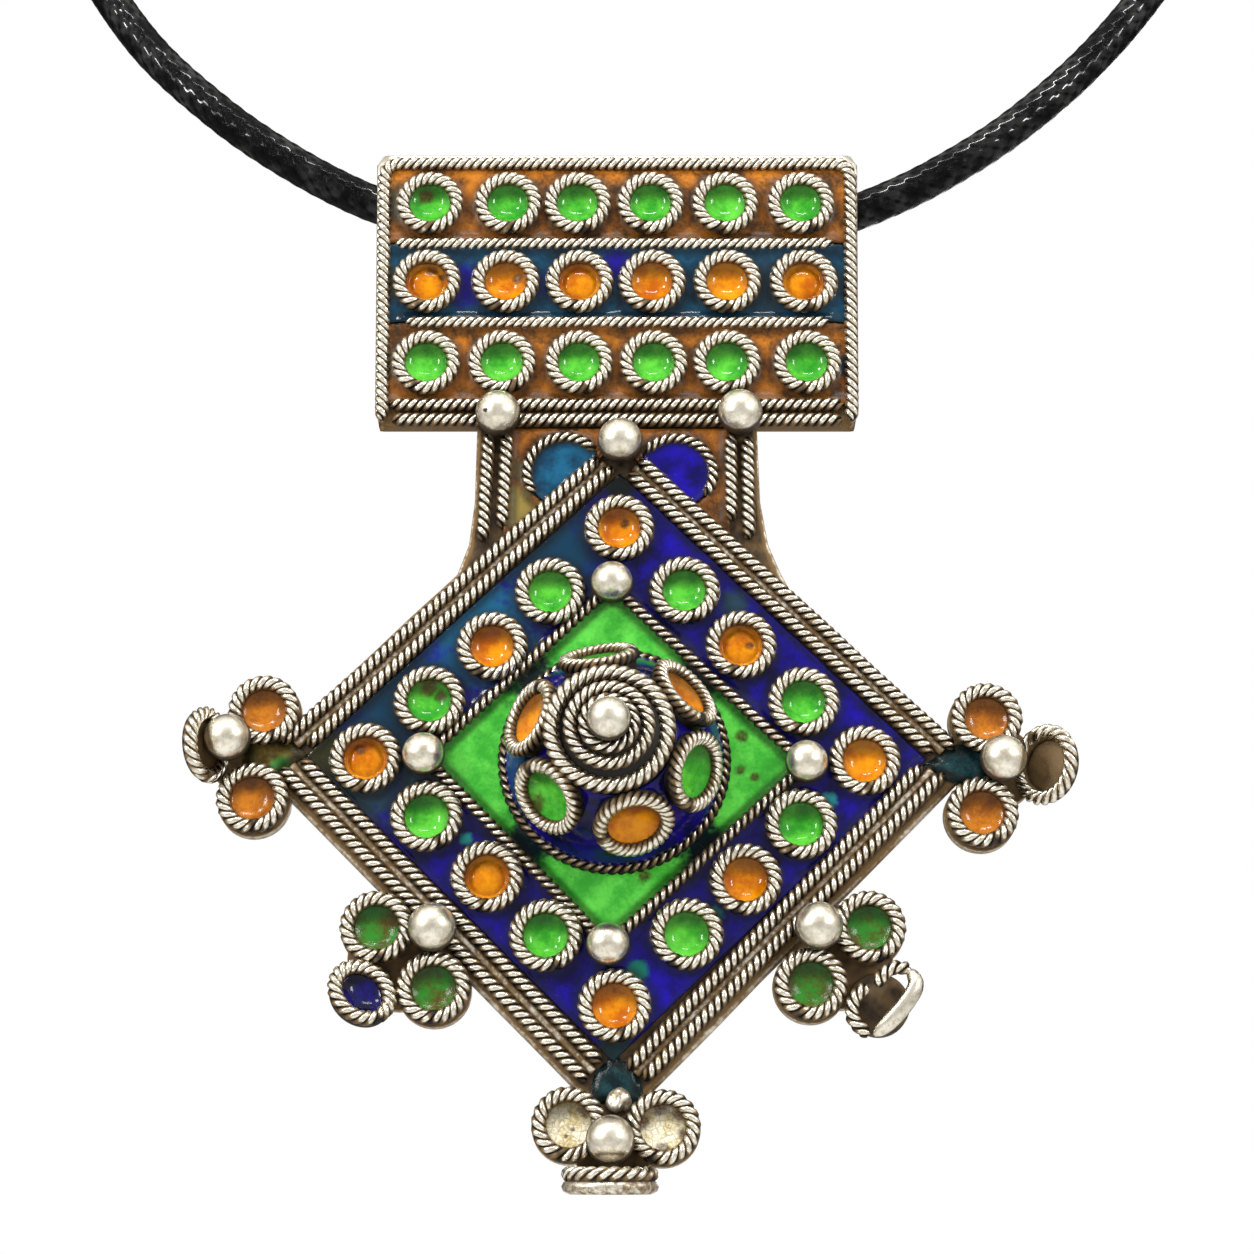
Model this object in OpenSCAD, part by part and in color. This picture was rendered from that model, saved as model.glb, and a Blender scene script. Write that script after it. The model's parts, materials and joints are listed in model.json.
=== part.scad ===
// An enamelled silver pendant hung on a braided cord, as it is worn.
// Right is +X, the face looks along -Y and up is +Z. Z = 0 is the underside of the clasp, where
// the loop of cord rests on a neck. Lengths are millimetres.
// The pendant is drawn lying flat: x to the right, y up the pendant from the middle of the bail,
// z out of its face, with z = 0 on the front of the plate. hung() then stands it up on the cord.

/* [Cord and clasp] */
// Diameter of the braided cord
cord_d = 3.0; // [2.6:0.1:3]
// Length of the barrel clasp
clasp_len = 24; // [24:1:24]
// Diameter of the barrel of the clasp
clasp_d = 6; // [5:0.5:7]
// Diameter of the clasp's ends
clasp_end_d = 4.6; // [4:0.1:4.8]

/* [Bail] */
// Width of the bail
bail_w = 38.7; // [37:0.1:38.8]
// Height of the bail
bail_h = 23.8; // [23.6:0.1:24.4]
// Clear depth behind the bail's front plate
bail_room = 6.6; // [6.6:0.1:9]
// Thickness of the sheet that is rolled back behind the plate
bail_wall = 0.8; // [0.6:0.1:0.8]

/* [Silver] */
// Thickness of the plate
plate_t = 1.2; // [0.9:0.1:1.6]
// Diameter of the rope wires
wire_d = 1.0; // [0.8:0.05:1]
// Radius of the middle line of each ring of rope wire
ring_r = 2.15; // [2:0.05:2.15]
// Height of the rings' middle above the plate
ring_z = 1.0; // [0.8:0.05:1.2]
// Diameter of the large silver balls
ball_d = 3.5; // [3.2:0.1:3.5]
// Diameter of the small silver balls
small_ball_d = 3.15; // [2.8:0.05:3.15]

/* [Boss] */
// Radius of the boss at its foot
boss_r = 8.3; // [8.3:0.1:8.6]
// Height of the boss above the plate
boss_h = 9.7; // [9.4:0.1:10]
// Thickness of the boss's sheet
boss_wall = 0.8; // [0.6:0.1:1]

/* [Enamel] */
// Thickness of the enamel fields
field_t = 0.35; // [0.2:0.05:0.4]
// How far the middle of a drop lies below its edge
bowl_depth = 0.5; // [0.3:0.05:0.6]

/* [Hidden] */
// Clearance between the enamel and the silver round it, and that beside the wires
gap = 0.05;
wire_gap = 0.1;
// How far the tube of a bezel reaches outside and inside the middle line of its ring
bezel_out = 0.2;
bezel_in = 0.4;
// Width of the lip round the bowl of a drop
lip = 0.1;
// How far the pendant leans forward at its top as it hangs, in degrees
lean = 6.5;
// Where the pendant turns on the cord: below the clasp, up the pendant, behind its face
hinge_z = -140;
hinge_y = 8.5;
hinge_back = plate_t + 2.6;
silver = "silver";
enamel_brown = [0.55, 0.33, 0.12];
enamel_blue = [0.12, 0.08, 0.6];
enamel_teal = [0.1, 0.3, 0.42];
enamel_green = [0.25, 0.75, 0.2];
enamel_orange = [0.88, 0.5, 0.08];
enamel_pale = [0.85, 0.8, 0.6];

// The middle of the lozenge and of the boss
loz = [-0.1, -39.05];
boss = [-0.15, -38.9];

// Half diagonal of the plate's lozenge, of the edge of the band's enamel and of the inner square
loz_a = 27.4;
band_out = 22.6;
square_a = 14.3;
square_wire_d = 0.85;
corner_w = 9.2;
// Half diagonal of the middle lines of the rope wires round the lozenge, at its top
rope_a = 26.1;

// Middle of the bail's height, the bend of its rolled sheet, and how far the sheet's lower side
// lies above the plate's lower edge
bail_mid = 0.2;
bail_bend = 4.5;
roll_rise = 1.8;

// Places of the drops along each row of the bail, and the height of each row
bail_rows = [
    [7.3, [-15.1, -8.8, -3.2, 2.7, 8.7, 14.8]],
    [0.4, [-15.2, -8.9, -3.0, 2.8, 8.8, 14.9]],
    [-6.6, [-15.1, -9.1, -3.0, 2.9, 8.7, 15.0]]
];
row_colours = [enamel_green, enamel_orange, enamel_green];
row_names = ["top", "middle", "bottom"];

// Band drops clockwise from the top corner: across, up, 1 where orange
band_places = [
    [0.2, -20.5, 1], [5.2, -25.6, 0], [9.5, -30.0, 1], [14.2, -34.5, 0],
    [18.7, -39.1, 1], [13.8, -44.0, 0], [9.6, -48.2, 1], [5.2, -52.3, 0],
    [-0.1, -57.6, 1], [-5.2, -52.4, 0], [-9.6, -48.0, 1], [-14.2, -43.4, 0],
    [-18.9, -38.9, 1], [-14.2, -34.4, 0], [-9.5, -30.1, 1], [-5.1, -25.7, 0]
];

// Rings on the boss: direction round it, 1 where orange, tilt, distance out, height
boss_rings = [
    [100, 0, 62, 6.0, 5.45], [35, 1, 57, 5.9, 5.6], [-21, 0, 57, 5.9, 5.6],
    [-77, 1, 57, 5.9, 5.6], [-139, 0, 57, 5.9, 5.6], [164, 1, 57, 5.9, 5.6]
];
boss_ring_r = 2.5;
boss_ring_d = 1.1;
boss_ring_z = 0.6;
// Coils on top of the boss: radius, height, wire. They sit a little off its middle
boss_coils = [[4.25, 8.2, 1.05], [2.85, 9.3, 0.95], [1.7, 9.8, 0.9]];
coil_shift = [-0.35, 0.3];
boss_ball_d = 3.2;
boss_ball_z = 11.1;
boss_foot_d = 0.8;
boss_foot_z = 0.3;
// The boss's flank is an arc that meets its foot at flank_angle, its top a smaller arc
flank_r = 24;
flank_angle = 17;
top_r = 5.6;
top_drop = 1.7;
boss_skin = 0.25;
// How far the skin stops below the middle of the lowest coil
skin_stop = 0.75;

// Flat cups round the lozenge: group, across, up, colour of the enamel left in it
flat_cups = [
    ["left", -26.7, -35.2, enamel_orange], ["left", -27.3, -42.0, enamel_orange],
    ["right", 28.0, -35.8, enamel_orange], ["right", 27.4, -43.1, enamel_orange],
    ["lower_left", -17.7, -51.8, enamel_green], ["lower_left", -13.4, -56.3, enamel_green],
    ["lower_right", 18.7, -51.8, enamel_green], ["lower_right", 14.3, -56.0, enamel_green],
    ["bottom", -3.4, -66.2, enamel_pale], ["bottom", 3.4, -66.4, enamel_pale]
];
// Bent cups, one to a group: group, across, up, out of the face, direction they face, tilt, size,
// height of the wire above the floor
bent_cups = [
    ["left", -30.8, -38.0, 1.5, 0, 60, 1.05, 1.0],
    ["right", 32.6, -39.5, 1.4, 180, 52, 1.05, 1.0],
    ["lower_left", -18.8, -57.0, 0.75, 45, 22, 1.0, 1.0],
    ["lower_right", 19.9, -57.2, 1.3, 135, 52, 1.0, 1.0],
    ["bottom", -0.4, -70.6, 2.0, 90, 76, 1.2, 0.55]
];
cup_lobe_r = 2.75;
cup_floor = 0.6;
// Lobes of the plate that carry the clusters: across, up, radius
lobes = [
    [-28.0, -38.3, 3.0], [28.7, -39.3, 3.2], [-16.0, -53.9, 3.9], [16.6, -53.8, 3.9],
    [-0.2, -67.6, 3.0]
];

// Large balls: across, up, out of the face. Small balls, clockwise from the top: across, up
large_balls = [
    [-9.3, -11.2, 1.65], [9.65, -11.1, 1.65], [0.25, -13.5, 1.65],
    [-29.2, -37.6, 2.1], [29.0, -39.2, 2.1], [-13.5, -52.0, 2.1], [14.9, -51.9, 2.1],
    [-0.4, -67.4, 2.1]
];
small_balls = [[-0.35, -25.1], [14.3, -39.3], [-0.6, -53.1], [-14.5, -38.7]];
small_ball_z = 1.45;

// Straight rope wires: from across, from up, to across, to up
frame_wires = [
    [-18.1, 11.1, 18.0, 11.1],
    [-18.75, 11.4, -18.75, -9.9], [18.7, 11.4, 18.7, -9.9],
    [-17.8, 3.95, 17.4, 3.95], [-16.8, -2.95, 16.9, -2.95],
    [-17.9, -10.0, 17.9, -10.0], [-18.3, -11.3, 18.8, -11.3],
    [-10.1, -12.5, -10.4, -21.4], [-8.6, -12.4, -8.9, -20.3],
    [8.9, -12.5, 8.9, -19.7], [10.3, -12.7, 10.25, -21.2],
    [-1.4, -14.7, -25.1, -37.7], [-0.1, -15.5, -23.1, -38.0],
    [0.9, -15.9, 23.8, -38.5], [1.7, -14.7, 25.5, -38.0],
    [-25.0, -39.3, -1.9, -62.7], [-23.6, -38.8, -1.0, -61.5],
    [24.6, -40.0, 2.0, -62.9], [22.8, -39.2, 0.7, -61.9]
];
wire_z = 0.4;
// Enamel at the tips, outside the rope wires: corners across and up
tips = [
    [[-23.9, -38.45], [-25.4, -37.7], [-28.2, -37.6], [-28.2, -39.9], [-25.8, -39.6]],
    [[23.9, -39.2], [25.4, -38.2], [28.2, -38.0], [28.2, -40.6], [25.8, -40.4]],
    [[-0.15, -61.5], [1.2, -62.6], [1.2, -64.8], [-1.4, -64.8], [-1.4, -62.6]]
];
// Wires that end at each tip: their places in the table above
tip_wires = [
    [for (i = [11, 12, 15, 16]) frame_wires[i]],
    [for (i = [13, 14, 17, 18]) frame_wires[i]],
    [for (i = [15, 16, 17, 18]) frame_wires[i]]
];

// Half moons of the neck: across, up, from angle, to angle
moons = [[-4.1, -15.7, 35, 220], [4.6, -15.8, -40, 145]];
moon_r = 2.95;
moon_wire_d = 0.85;
moon_names = ["left", "right"];

// Route of the cord in its upright plane: across, up. It leaves the right end of the clasp and
// comes back to the left end
route = [
    [12, 3], [18, 2.6], [24, 1.3], [34, -3], [43, -10], [50, -19], [54, -29],
    [55.7, -40], [56, -50], [56, -61], [56, -72], [55.9, -83], [54.9, -94], [52.1, -104.5],
    [47.5, -114.5], [41, -123.5], [33.5, -131], [26.5, -136.1], [20.5, -139.3], [16.5, -140.6],
    [11, -140.9], [4, -141], [-4, -141], [-10.5, -140.9], [-16, -140.2], [-21, -138.4],
    [-27.2, -134.7], [-33.6, -129.7], [-40.5, -122.5], [-46.6, -112.5], [-51, -101.5],
    [-53, -90], [-53.6, -78], [-54, -65], [-54, -52], [-53.8, -40], [-52, -29], [-48, -19],
    [-41.5, -10], [-33, -3], [-24, 1.2], [-18, 2.6], [-12, 3]
];
cord_sides = 8;

function arc(centre, r, from, to, steps) =
    [for (i = [0 : steps]) let (a = from + (to - from) * i / steps)
        [centre[0] + r * cos(a), centre[1] + r * sin(a)]];

// Stands the flat drawing up, with the middle line of the cord's rest as the pivot of the lean
module hung() {
    translate([0, 0, hinge_z]) rotate([90 + lean, 0, 0]) translate([0, -hinge_y, hinge_back])
        children();
}

module ring(r, d, z) {
    translate([0, 0, z]) rotate_extrude($fn = 48) translate([r, 0]) circle(d = d, $fn = 24);
}

// A short tube of sheet that holds the enamel, with a ring of rope wire round its lip
module bezel(r = ring_r, d = wire_d, z = ring_z, sunk = 0.3) {
    translate([0, 0, -sunk]) difference() {
        cylinder(r = r + bezel_out, h = z + sunk, $fn = 48);
        translate([0, 0, -1]) cylinder(r = r - bezel_in, h = z + sunk + 2, $fn = 48);
    }
    ring(r, d, z);
}

module floor_disc(r, t) {
    translate([0, 0, -t]) cylinder(r = r, h = t, $fn = 48);
}

module wire(x1, y1, x2, y2, d, z) {
    length = norm([x2 - x1, y2 - y1]);
    translate([x1, y1, z]) rotate([0, 0, atan2(y2 - y1, x2 - x1)]) rotate([0, 90, 0])
        cylinder(d = d, h = length, $fn = 24);
}

module ball(p, d) {
    translate(p) sphere(d = d, $fn = 48);
}

module diamond(centre, a) {
    polygon([
        [centre[0], centre[1] + a], [centre[0] + a, centre[1]],
        [centre[0], centre[1] - a], [centre[0] - a, centre[1]]
    ]);
}

// Outline of the neck and the lozenge, with the flare between them
module plate_outline() {
    diamond(loz, loz_a);
    polygon([
        [-11, -10], [-11.1, -18], [-11.5, -21.5], [-12.4, -24], [-13.8, -26],
        [13.8, -26], [12.8, -24], [11.8, -21.5], [11.2, -18], [11, -10]
    ]);
}

// The bail: a plate in front and a sheet rolled back behind it, open at both ends
module bail() {
    depth = plate_t + bail_room + bail_wall;
    top = bail_mid + bail_h / 2;
    bottom = bail_mid - bail_h / 2;
    roll = bottom + roll_rise;
    difference() {
        translate([-bail_w / 2, 0, 0]) rotate([90, 0, 90]) linear_extrude(bail_w) polygon(concat(
            [[top, 0], [top, -depth + bail_bend]],
            arc([top - bail_bend, -depth + bail_bend], bail_bend, -10, -90, 8),
            arc([roll + bail_bend, -depth + bail_bend], bail_bend, -90, -170, 8),
            [[roll, -depth + bail_bend], [roll, -plate_t], [bottom, -plate_t], [bottom, 0]]
        ));
        translate([-bail_w, 0, 0]) rotate([90, 0, 90]) linear_extrude(2 * bail_w) polygon(concat(
            [[top - bail_wall, -plate_t], [top - bail_wall, -depth + bail_bend]],
            arc([top - bail_bend, -depth + bail_bend], bail_bend - bail_wall, -10, -90, 8),
            arc([roll + bail_bend, -depth + bail_bend], bail_bend - bail_wall, -90, -170, 8),
            [[roll + bail_wall, -depth + bail_bend], [roll + bail_wall, -plate_t]]
        ));
    }
}

// Profile of the boss: a steep flank that ends in a round top, drawn at a distance inside its skin
module boss_profile(inset) {
    join_z = boss_h - top_drop;
    flank_mid = [boss_r - flank_r * cos(flank_angle), -flank_r * sin(flank_angle)];
    intersection() {
        translate(flank_mid) circle(r = flank_r - inset, $fn = 96);
        translate([0, -inset]) square([20, join_z]);
    }
    intersection() {
        translate([0, boss_h - top_r]) circle(r = top_r - inset, $fn = 96);
        translate([0, join_z - inset]) square([20, 20]);
    }
}

module boss_shell(outer, inner, low) {
    rotate_extrude($fn = 96) difference() {
        boss_profile(outer);
        boss_profile(inner);
        translate([-1, low - 30]) square([40, 30]);
    }
}

// Puts its children on the flank of the boss, facing outwards
module on_flank(row) {
    rotate([0, 0, row[0]]) translate([row[3], 0, row[4]]) rotate([0, row[2], 0]) children();
}

module bent(cup) {
    translate([cup[1], cup[2], cup[3]]) rotate([0, 0, cup[4]]) rotate([0, cup[5], 0])
        scale(cup[6]) children();
}

module cup(z) {
    floor_disc(cup_lobe_r, cup_floor);
    bezel(z = z);
}

module boss_silver() {
    translate([boss[0], boss[1], 0]) {
        boss_shell(0, boss_wall, -plate_t);
        ring(boss_r + gap, boss_foot_d, boss_foot_z);
        translate([coil_shift[0], coil_shift[1], 0]) {
            for (c = boss_coils) ring(c[0], c[2], c[1]);
            ball([0, 0, boss_ball_z], boss_ball_d);
        }
        for (r = boss_rings) on_flank(r) bezel(boss_ring_r, boss_ring_d, boss_ring_z, 0.9);
    }
}

module silver_frame() {
    color(silver) hung() {
        bail();
        difference() {
            union() {
                translate([0, 0, -plate_t]) linear_extrude(plate_t) plate_outline();
                for (c = flat_cups) translate([c[1], c[2], 0]) floor_disc(cup_lobe_r, plate_t);
                for (l = lobes) translate([l[0], l[1], 0]) floor_disc(l[2], plate_t);
            }
            translate([boss[0], boss[1], -plate_t - 1])
                cylinder(r = boss_r - boss_wall, h = plate_t + 2, $fn = 96);
        }
        for (row = bail_rows) for (x = row[1]) translate([x, row[0], 0]) bezel();
        for (p = band_places) translate([p[0], p[1], 0]) bezel();
        for (c = flat_cups) translate([c[1], c[2], 0]) bezel();
        for (c = bent_cups) bent(c) cup(c[7]);
        for (w = frame_wires) wire(w[0], w[1], w[2], w[3], wire_d, wire_z);
        for (i = [0 : 3]) let (a = small_balls[i], b = small_balls[(i + 1) % 4])
            wire(a[0], a[1], b[0], b[1], square_wire_d, wire_z);
        for (m = moons) translate([m[0], m[1], wire_z]) rotate([0, 0, m[2]])
            rotate_extrude(angle = m[3] - m[2], $fn = 48) translate([moon_r, 0])
                circle(d = moon_wire_d, $fn = 24);
        for (b = large_balls) ball(b, ball_d);
        for (b = small_balls) ball([b[0], b[1], small_ball_z], small_ball_d);
        boss_silver();
    }
}

// A sheet of enamel lying on the plate, inside an outline and clear of the silver on it
module field(colour) {
    color(colour) hung() translate([0, 0, gap]) linear_extrude(field_t - gap) children();
}

module rings_cut(places) {
    for (p = places) translate([p[0], p[1]]) circle(r = ring_r + bezel_out + gap, $fn = 48);
}

module balls_cut() {
    for (b = small_balls) translate([b[0], b[1]]) circle(r = small_ball_d / 2 + gap, $fn = 48);
    for (b = large_balls) translate([b[0], b[1]]) circle(r = ball_d / 2 + gap, $fn = 48);
}

// The strip of the plate that a wire covers, with its clearance
module wire_strip(x1, y1, x2, y2, d) {
    translate([x1, y1]) rotate([0, 0, atan2(y2 - y1, x2 - x1)]) translate([-wire_gap, -d / 2 - wire_gap])
        square([norm([x2 - x1, y2 - y1]) + 2 * wire_gap, d + 2 * wire_gap]);
}

module square_strips() {
    for (i = [0 : 3]) let (a = small_balls[i], b = small_balls[(i + 1) % 4])
        wire_strip(a[0], a[1], b[0], b[1], square_wire_d);
}

wire_cut = wire_d / 2 + wire_gap;

// The strips of the bail lie between its side wires and from one cross wire to the next
module bail_field(i) {
    cross_wires = [for (w = [0, 3, 4, 5]) frame_wires[w][1]];
    left = frame_wires[1][0] + wire_cut;
    right = frame_wires[2][0] - wire_cut;
    field([enamel_brown, enamel_blue, enamel_brown][i]) difference() {
        translate([left, cross_wires[i + 1] + wire_cut])
            square([right - left, cross_wires[i] - cross_wires[i + 1] - 2 * wire_cut]);
        rings_cut([for (x = bail_rows[i][1]) [x, bail_rows[i][0]]]);
    }
}

// The neck's field ends above the upper sides of the lozenge
module above_lozenge(clear) {
    difference() {
        children();
        diamond(loz, rope_a + clear * sqrt(2));
    }
}

// Two patches, one on each side of the ball on the neck
module neck_field() {
    field(enamel_brown) above_lozenge(wire_cut) difference() {
        polygon([[-8.0, -12.0], [-8.3, -22], [-2, -22], [-2, -12.0]]);
        translate([moons[0][0], moons[0][1]]) circle(r = moon_r + moon_wire_d / 2 + wire_gap, $fn = 48);
    }
    field(enamel_brown) above_lozenge(wire_cut) difference() {
        polygon([[2, -12.0], [2, -22], [8.3, -22], [8.3, -12.0]]);
        translate([moons[1][0], moons[1][1]]) circle(r = moon_r + moon_wire_d / 2 + wire_gap, $fn = 48);
    }
}

module neck_moon(i) {
    m = moons[i];
    field([enamel_teal, enamel_blue][i]) above_lozenge(wire_cut) difference() {
        translate([m[0], m[1]]) circle(r = moon_r - moon_wire_d / 2 - wire_gap, $fn = 48);
        balls_cut();
    }
}

module band_field() {
    field(enamel_blue) difference() {
        polygon([[0.2, -16.5], [band_out - 0.1, -38.95], [-0.2, -60.9], [-band_out, -38.6]]);
        polygon(small_balls);
        square_strips();
        rings_cut(band_places);
        balls_cut();
    }
}

// Green corners between the inner square and the boss: 0 top, 1 right, 2 bottom, 3 left
module corner_field(i) {
    field(enamel_green) difference() {
        intersection() {
            polygon(small_balls);
            translate(loz) rotate([0, 0, -90 * i]) translate([-corner_w / 2, 0])
                square([corner_w, square_a]);
        }
        square_strips();
        translate(boss) circle(r = boss_r + gap + boss_foot_d / 2 + wire_gap, $fn = 96);
        balls_cut();
    }
}

// Enamel in the corners outside the rope wires, beside the clusters: left, right, bottom
module tip_field(i) {
    colour = [enamel_brown, enamel_teal, enamel_teal][i];
    field(colour) difference() {
        polygon(tips[i]);
        for (w = tip_wires[i]) wire_strip(w[0], w[1], w[2], w[3], wire_d);
        rings_cut([for (c = flat_cups) [c[1], c[2]]]);
        balls_cut();
    }
}

// The enamel skin of the boss, between its foot and its coils, cut round the rings
module boss_field() {
    low = boss_foot_z + boss_foot_d / 2 + wire_gap + gap;
    high = boss_coils[0][1] - skin_stop;
    color(enamel_blue) hung() translate([boss[0], boss[1], 0]) difference() {
        boss_shell(-gap - boss_skin, -gap, low);
        translate([0, 0, high]) cylinder(r = 20, h = 20, $fn = 48);
        for (r = boss_rings) on_flank(r) translate([0, 0, -3])
            cylinder(r = boss_ring_r + boss_ring_d / 2 + gap, h = 6, $fn = 48);
    }
}

// A drop of enamel: a short round piece whose top sinks in a bowl inside a narrow lip
module drop(r = ring_r - wire_d / 2 - gap, edge_z = 0.95, deep = bowl_depth, low = gap) {
    bowl = r - lip;
    bowl_r = (bowl * bowl + deep * deep) / (2 * deep);
    difference() {
        translate([0, 0, low]) cylinder(r = r, h = edge_z - low, $fn = 48);
        translate([0, 0, edge_z - deep + bowl_r]) sphere(r = bowl_r, $fn = 96);
    }
}

module bail_drops(i) {
    color(row_colours[i]) hung() for (x = bail_rows[i][1])
        translate([x, bail_rows[i][0], 0]) drop();
}

module band_drop(i) {
    p = band_places[i];
    color(p[2] == 1 ? enamel_orange : enamel_green) hung() translate([p[0], p[1], 0]) drop();
}

module boss_drop(i) {
    r = boss_rings[i];
    color(r[1] == 1 ? enamel_orange : enamel_green) hung()
        translate([boss[0], boss[1], 0]) on_flank(r)
            drop(boss_ring_r - boss_ring_d / 2 - gap, edge_z = 0.5, deep = 0.2, low = 0.15);
}

module cup_drop(i) {
    c = flat_cups[i];
    color(c[3]) hung() translate([c[1], c[2], 0]) drop();
}

module bent_cup_drop() {
    color(enamel_blue) hung() bent(bent_cups[2]) drop();
}

// Points on a smooth curve through four neighbouring points of the route
function between(a, b, c, d, t) = 0.5 * (
    2 * b + (c - a) * t + (2 * a - 5 * b + 4 * c - d) * t * t
    + (3 * b - a - 3 * c + d) * t * t * t
);
last = len(route) - 1;
function smooth_route() = concat(
    [for (i = [0 : last - 1]) for (t = (i % 7 == 3 ? [0] : [0, 0.5]))
        between(route[max(i - 1, 0)], route[i], route[i + 1], route[min(i + 2, last)], t)],
    [route[last]]
);
// One ring of the tube, square to the route, which lies in an upright plane
function tube_ring(p, along) = let (u = along / norm(along))
    [for (k = [0 : cord_sides - 1]) let (a = 360 * k / cord_sides, r = cord_d / 2)
        [p[0] - u[1] * r * cos(a), r * sin(a), p[1] + u[0] * r * cos(a)]];

module cord() {
    line = smooth_route();
    n = len(line);
    points = [for (i = [0 : n - 1])
        each tube_ring(line[i], i == 0 ? [1, 0] : i == n - 1 ? [1, 0] : line[i + 1] - line[i - 1])];
    sides = [for (i = [0 : n - 2]) for (k = [0 : cord_sides - 1]) let (
        a = i * cord_sides + k, b = i * cord_sides + (k + 1) % cord_sides
    ) [a, b, b + cord_sides, a + cord_sides]];
    ends = [
        [for (k = [cord_sides - 1 : -1 : 0]) k],
        [for (k = [0 : cord_sides - 1]) (n - 1) * cord_sides + k]
    ];
    color([0.05, 0.05, 0.05]) polyhedron(points, concat(sides, ends), convexity = 8);
}

// A plain barrel clasp that lies level at the top of the loop
module clasp() {
    end_len = 4;
    color(silver) translate([-clasp_len / 2, 0, clasp_d / 2]) rotate([0, 90, 0]) {
        cylinder(d = clasp_end_d, h = clasp_len, $fn = 48);
        translate([0, 0, end_len]) cylinder(d = clasp_d, h = clasp_len - 2 * end_len, $fn = 48);
    }
}

silver_frame();
for (i = [0 : 2]) bail_field(i);
neck_field();
for (i = [0 : 1]) neck_moon(i);
band_field();
for (i = [0 : 3])
    corner_field(i);
for (i = [0 : 2])
    tip_field(i);
boss_field();
for (i = [0 : 2]) bail_drops(i);
for (i = [0 : len(band_places) - 1])
    band_drop(i);
for (i = [0 : len(boss_rings) - 1])
    boss_drop(i);
for (i = [0 : len(flat_cups) - 1])
    cup_drop(i);
bent_cup_drop();  // cup_drop_lower_left_3
cord();
clasp();
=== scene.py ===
"""An enamelled silver pendant on a braided cord: its metal, enamel and braid, made round the frame.

The pendant is worked out lying flat, in millimetres: x to the right, y up the pendant from the middle
of the bail, z out of its face, with z = 0 on the front of the plate. hang() then stands it on the cord.
"""

import json
import math

import bpy
import numpy as np
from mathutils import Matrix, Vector


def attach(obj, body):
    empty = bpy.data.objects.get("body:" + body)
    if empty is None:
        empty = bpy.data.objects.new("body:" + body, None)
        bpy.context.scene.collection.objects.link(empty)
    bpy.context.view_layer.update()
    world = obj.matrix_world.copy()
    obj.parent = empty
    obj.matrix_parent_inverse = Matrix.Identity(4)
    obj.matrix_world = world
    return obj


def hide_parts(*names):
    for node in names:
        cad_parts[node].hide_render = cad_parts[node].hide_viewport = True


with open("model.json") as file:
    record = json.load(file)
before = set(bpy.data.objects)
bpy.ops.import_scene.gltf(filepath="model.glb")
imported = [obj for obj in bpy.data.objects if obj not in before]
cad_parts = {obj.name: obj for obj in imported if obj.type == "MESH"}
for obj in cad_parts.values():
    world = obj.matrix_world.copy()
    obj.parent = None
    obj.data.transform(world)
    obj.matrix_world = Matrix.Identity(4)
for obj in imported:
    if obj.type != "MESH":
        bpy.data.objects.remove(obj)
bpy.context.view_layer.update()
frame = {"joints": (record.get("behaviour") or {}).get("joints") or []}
rng = np.random.default_rng(11)

MM = 0.001
TAU = 2 * math.pi

# How the flat drawing hangs: its lean, and the point of it that lies on the hinge
LEAN = math.radians(6.5)
HINGE_UP = 8.5
HINGE_BACK = 3.8
HINGE_Z = frame["joints"][0]["pos_m"][2]

# The photograph's view in the flat drawing: where the camera stands and looks, and its lens
EYE = (0.80, -88.39, 190.74)
LOOK = (0.80, -28.25, 0.0)
LENS = 74.64
SENSOR = 36.0

# Cord: its route in its upright plane, in millimetres, and its sizes
ROUTE = [
    (12, 3), (18, 2.6), (24, 1.3), (34, -3), (43, -10), (50, -19), (54, -29),
    (55.7, -40), (56, -50), (56, -61), (56, -72), (55.9, -83), (54.9, -94), (52.1, -104.5),
    (47.5, -114.5), (41, -123.5), (33.5, -131), (26.5, -136.1), (20.5, -139.3), (16.5, -140.6),
    (11, -140.9), (4, -141), (-4, -141), (-10.5, -140.9), (-16, -140.2), (-21, -138.4),
    (-27.2, -134.7), (-33.6, -129.7), (-40.5, -122.5), (-46.6, -112.5), (-51, -101.5),
    (-53, -90), (-53.6, -78), (-54, -65), (-54, -52), (-53.8, -40), (-52, -29), (-48, -19),
    (-41.5, -10), (-33, -3), (-24, 1.2), (-18, 2.6), (-12, 3),
]
CORD_D = 3.0
CLASP_LEN = 24.0
# The braid: strands wound each way, and the length in which one goes round
CARRIERS = 8
BRAID_LAY = 13.0

# The plate's thickness, and the bail: its width, height and middle, how deep it is rolled, its bends
# and its wall, how far above its foot the roll ends, and how much it widens up to its top
PLATE_T = 1.2
BAIL_W = 38.7
BAIL_H = 23.8
BAIL_MID = 0.2
BAIL_DEPTH = 8.6
BAIL_BEND = 4.5
BAIL_WALL = 0.8
ROLL_RISE = 1.8
BAIL_SPREAD = 0.25
# A wire's thickness, a rope's, and the height of its middle, and the radius and height of a ring
WIRE_D = 1.0
ROPE_D = 1.14
WIRE_Z = 0.4
RING_R = 2.15
RING_Z = 1.0
# A rope: its strands, the way from ridge to ridge, the length of a turn and the points in a turn
STRANDS = 3
RIDGE = 0.69
TURN = STRANDS * RIDGE
STEPS = 10
# The middle of a strand, half its width and half its height, as shares of the rope's thickness
STRAND_OUT, STRAND_WIDE, STRAND_HIGH = 0.27, 0.215, 0.245
# How deep on a rope its bright top, rubbed and painted as lit, ends and its soiled side, with painted
# shade, begins: on the lozenge, the rings, the bail and the bent cups
RUBBED_AND_LIT = (-1.0, -0.5)
RING_WORN_AND_LIT = (-0.92, -0.2)
BAIL_WORN_AND_LIT = (-0.85, 0.0)
BENT_WORN_AND_LIT = (-0.1, 0.9)
BALL_D = 3.56
SMALL_BALL_D = 3.24
LOBE_R = 2.75
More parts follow.
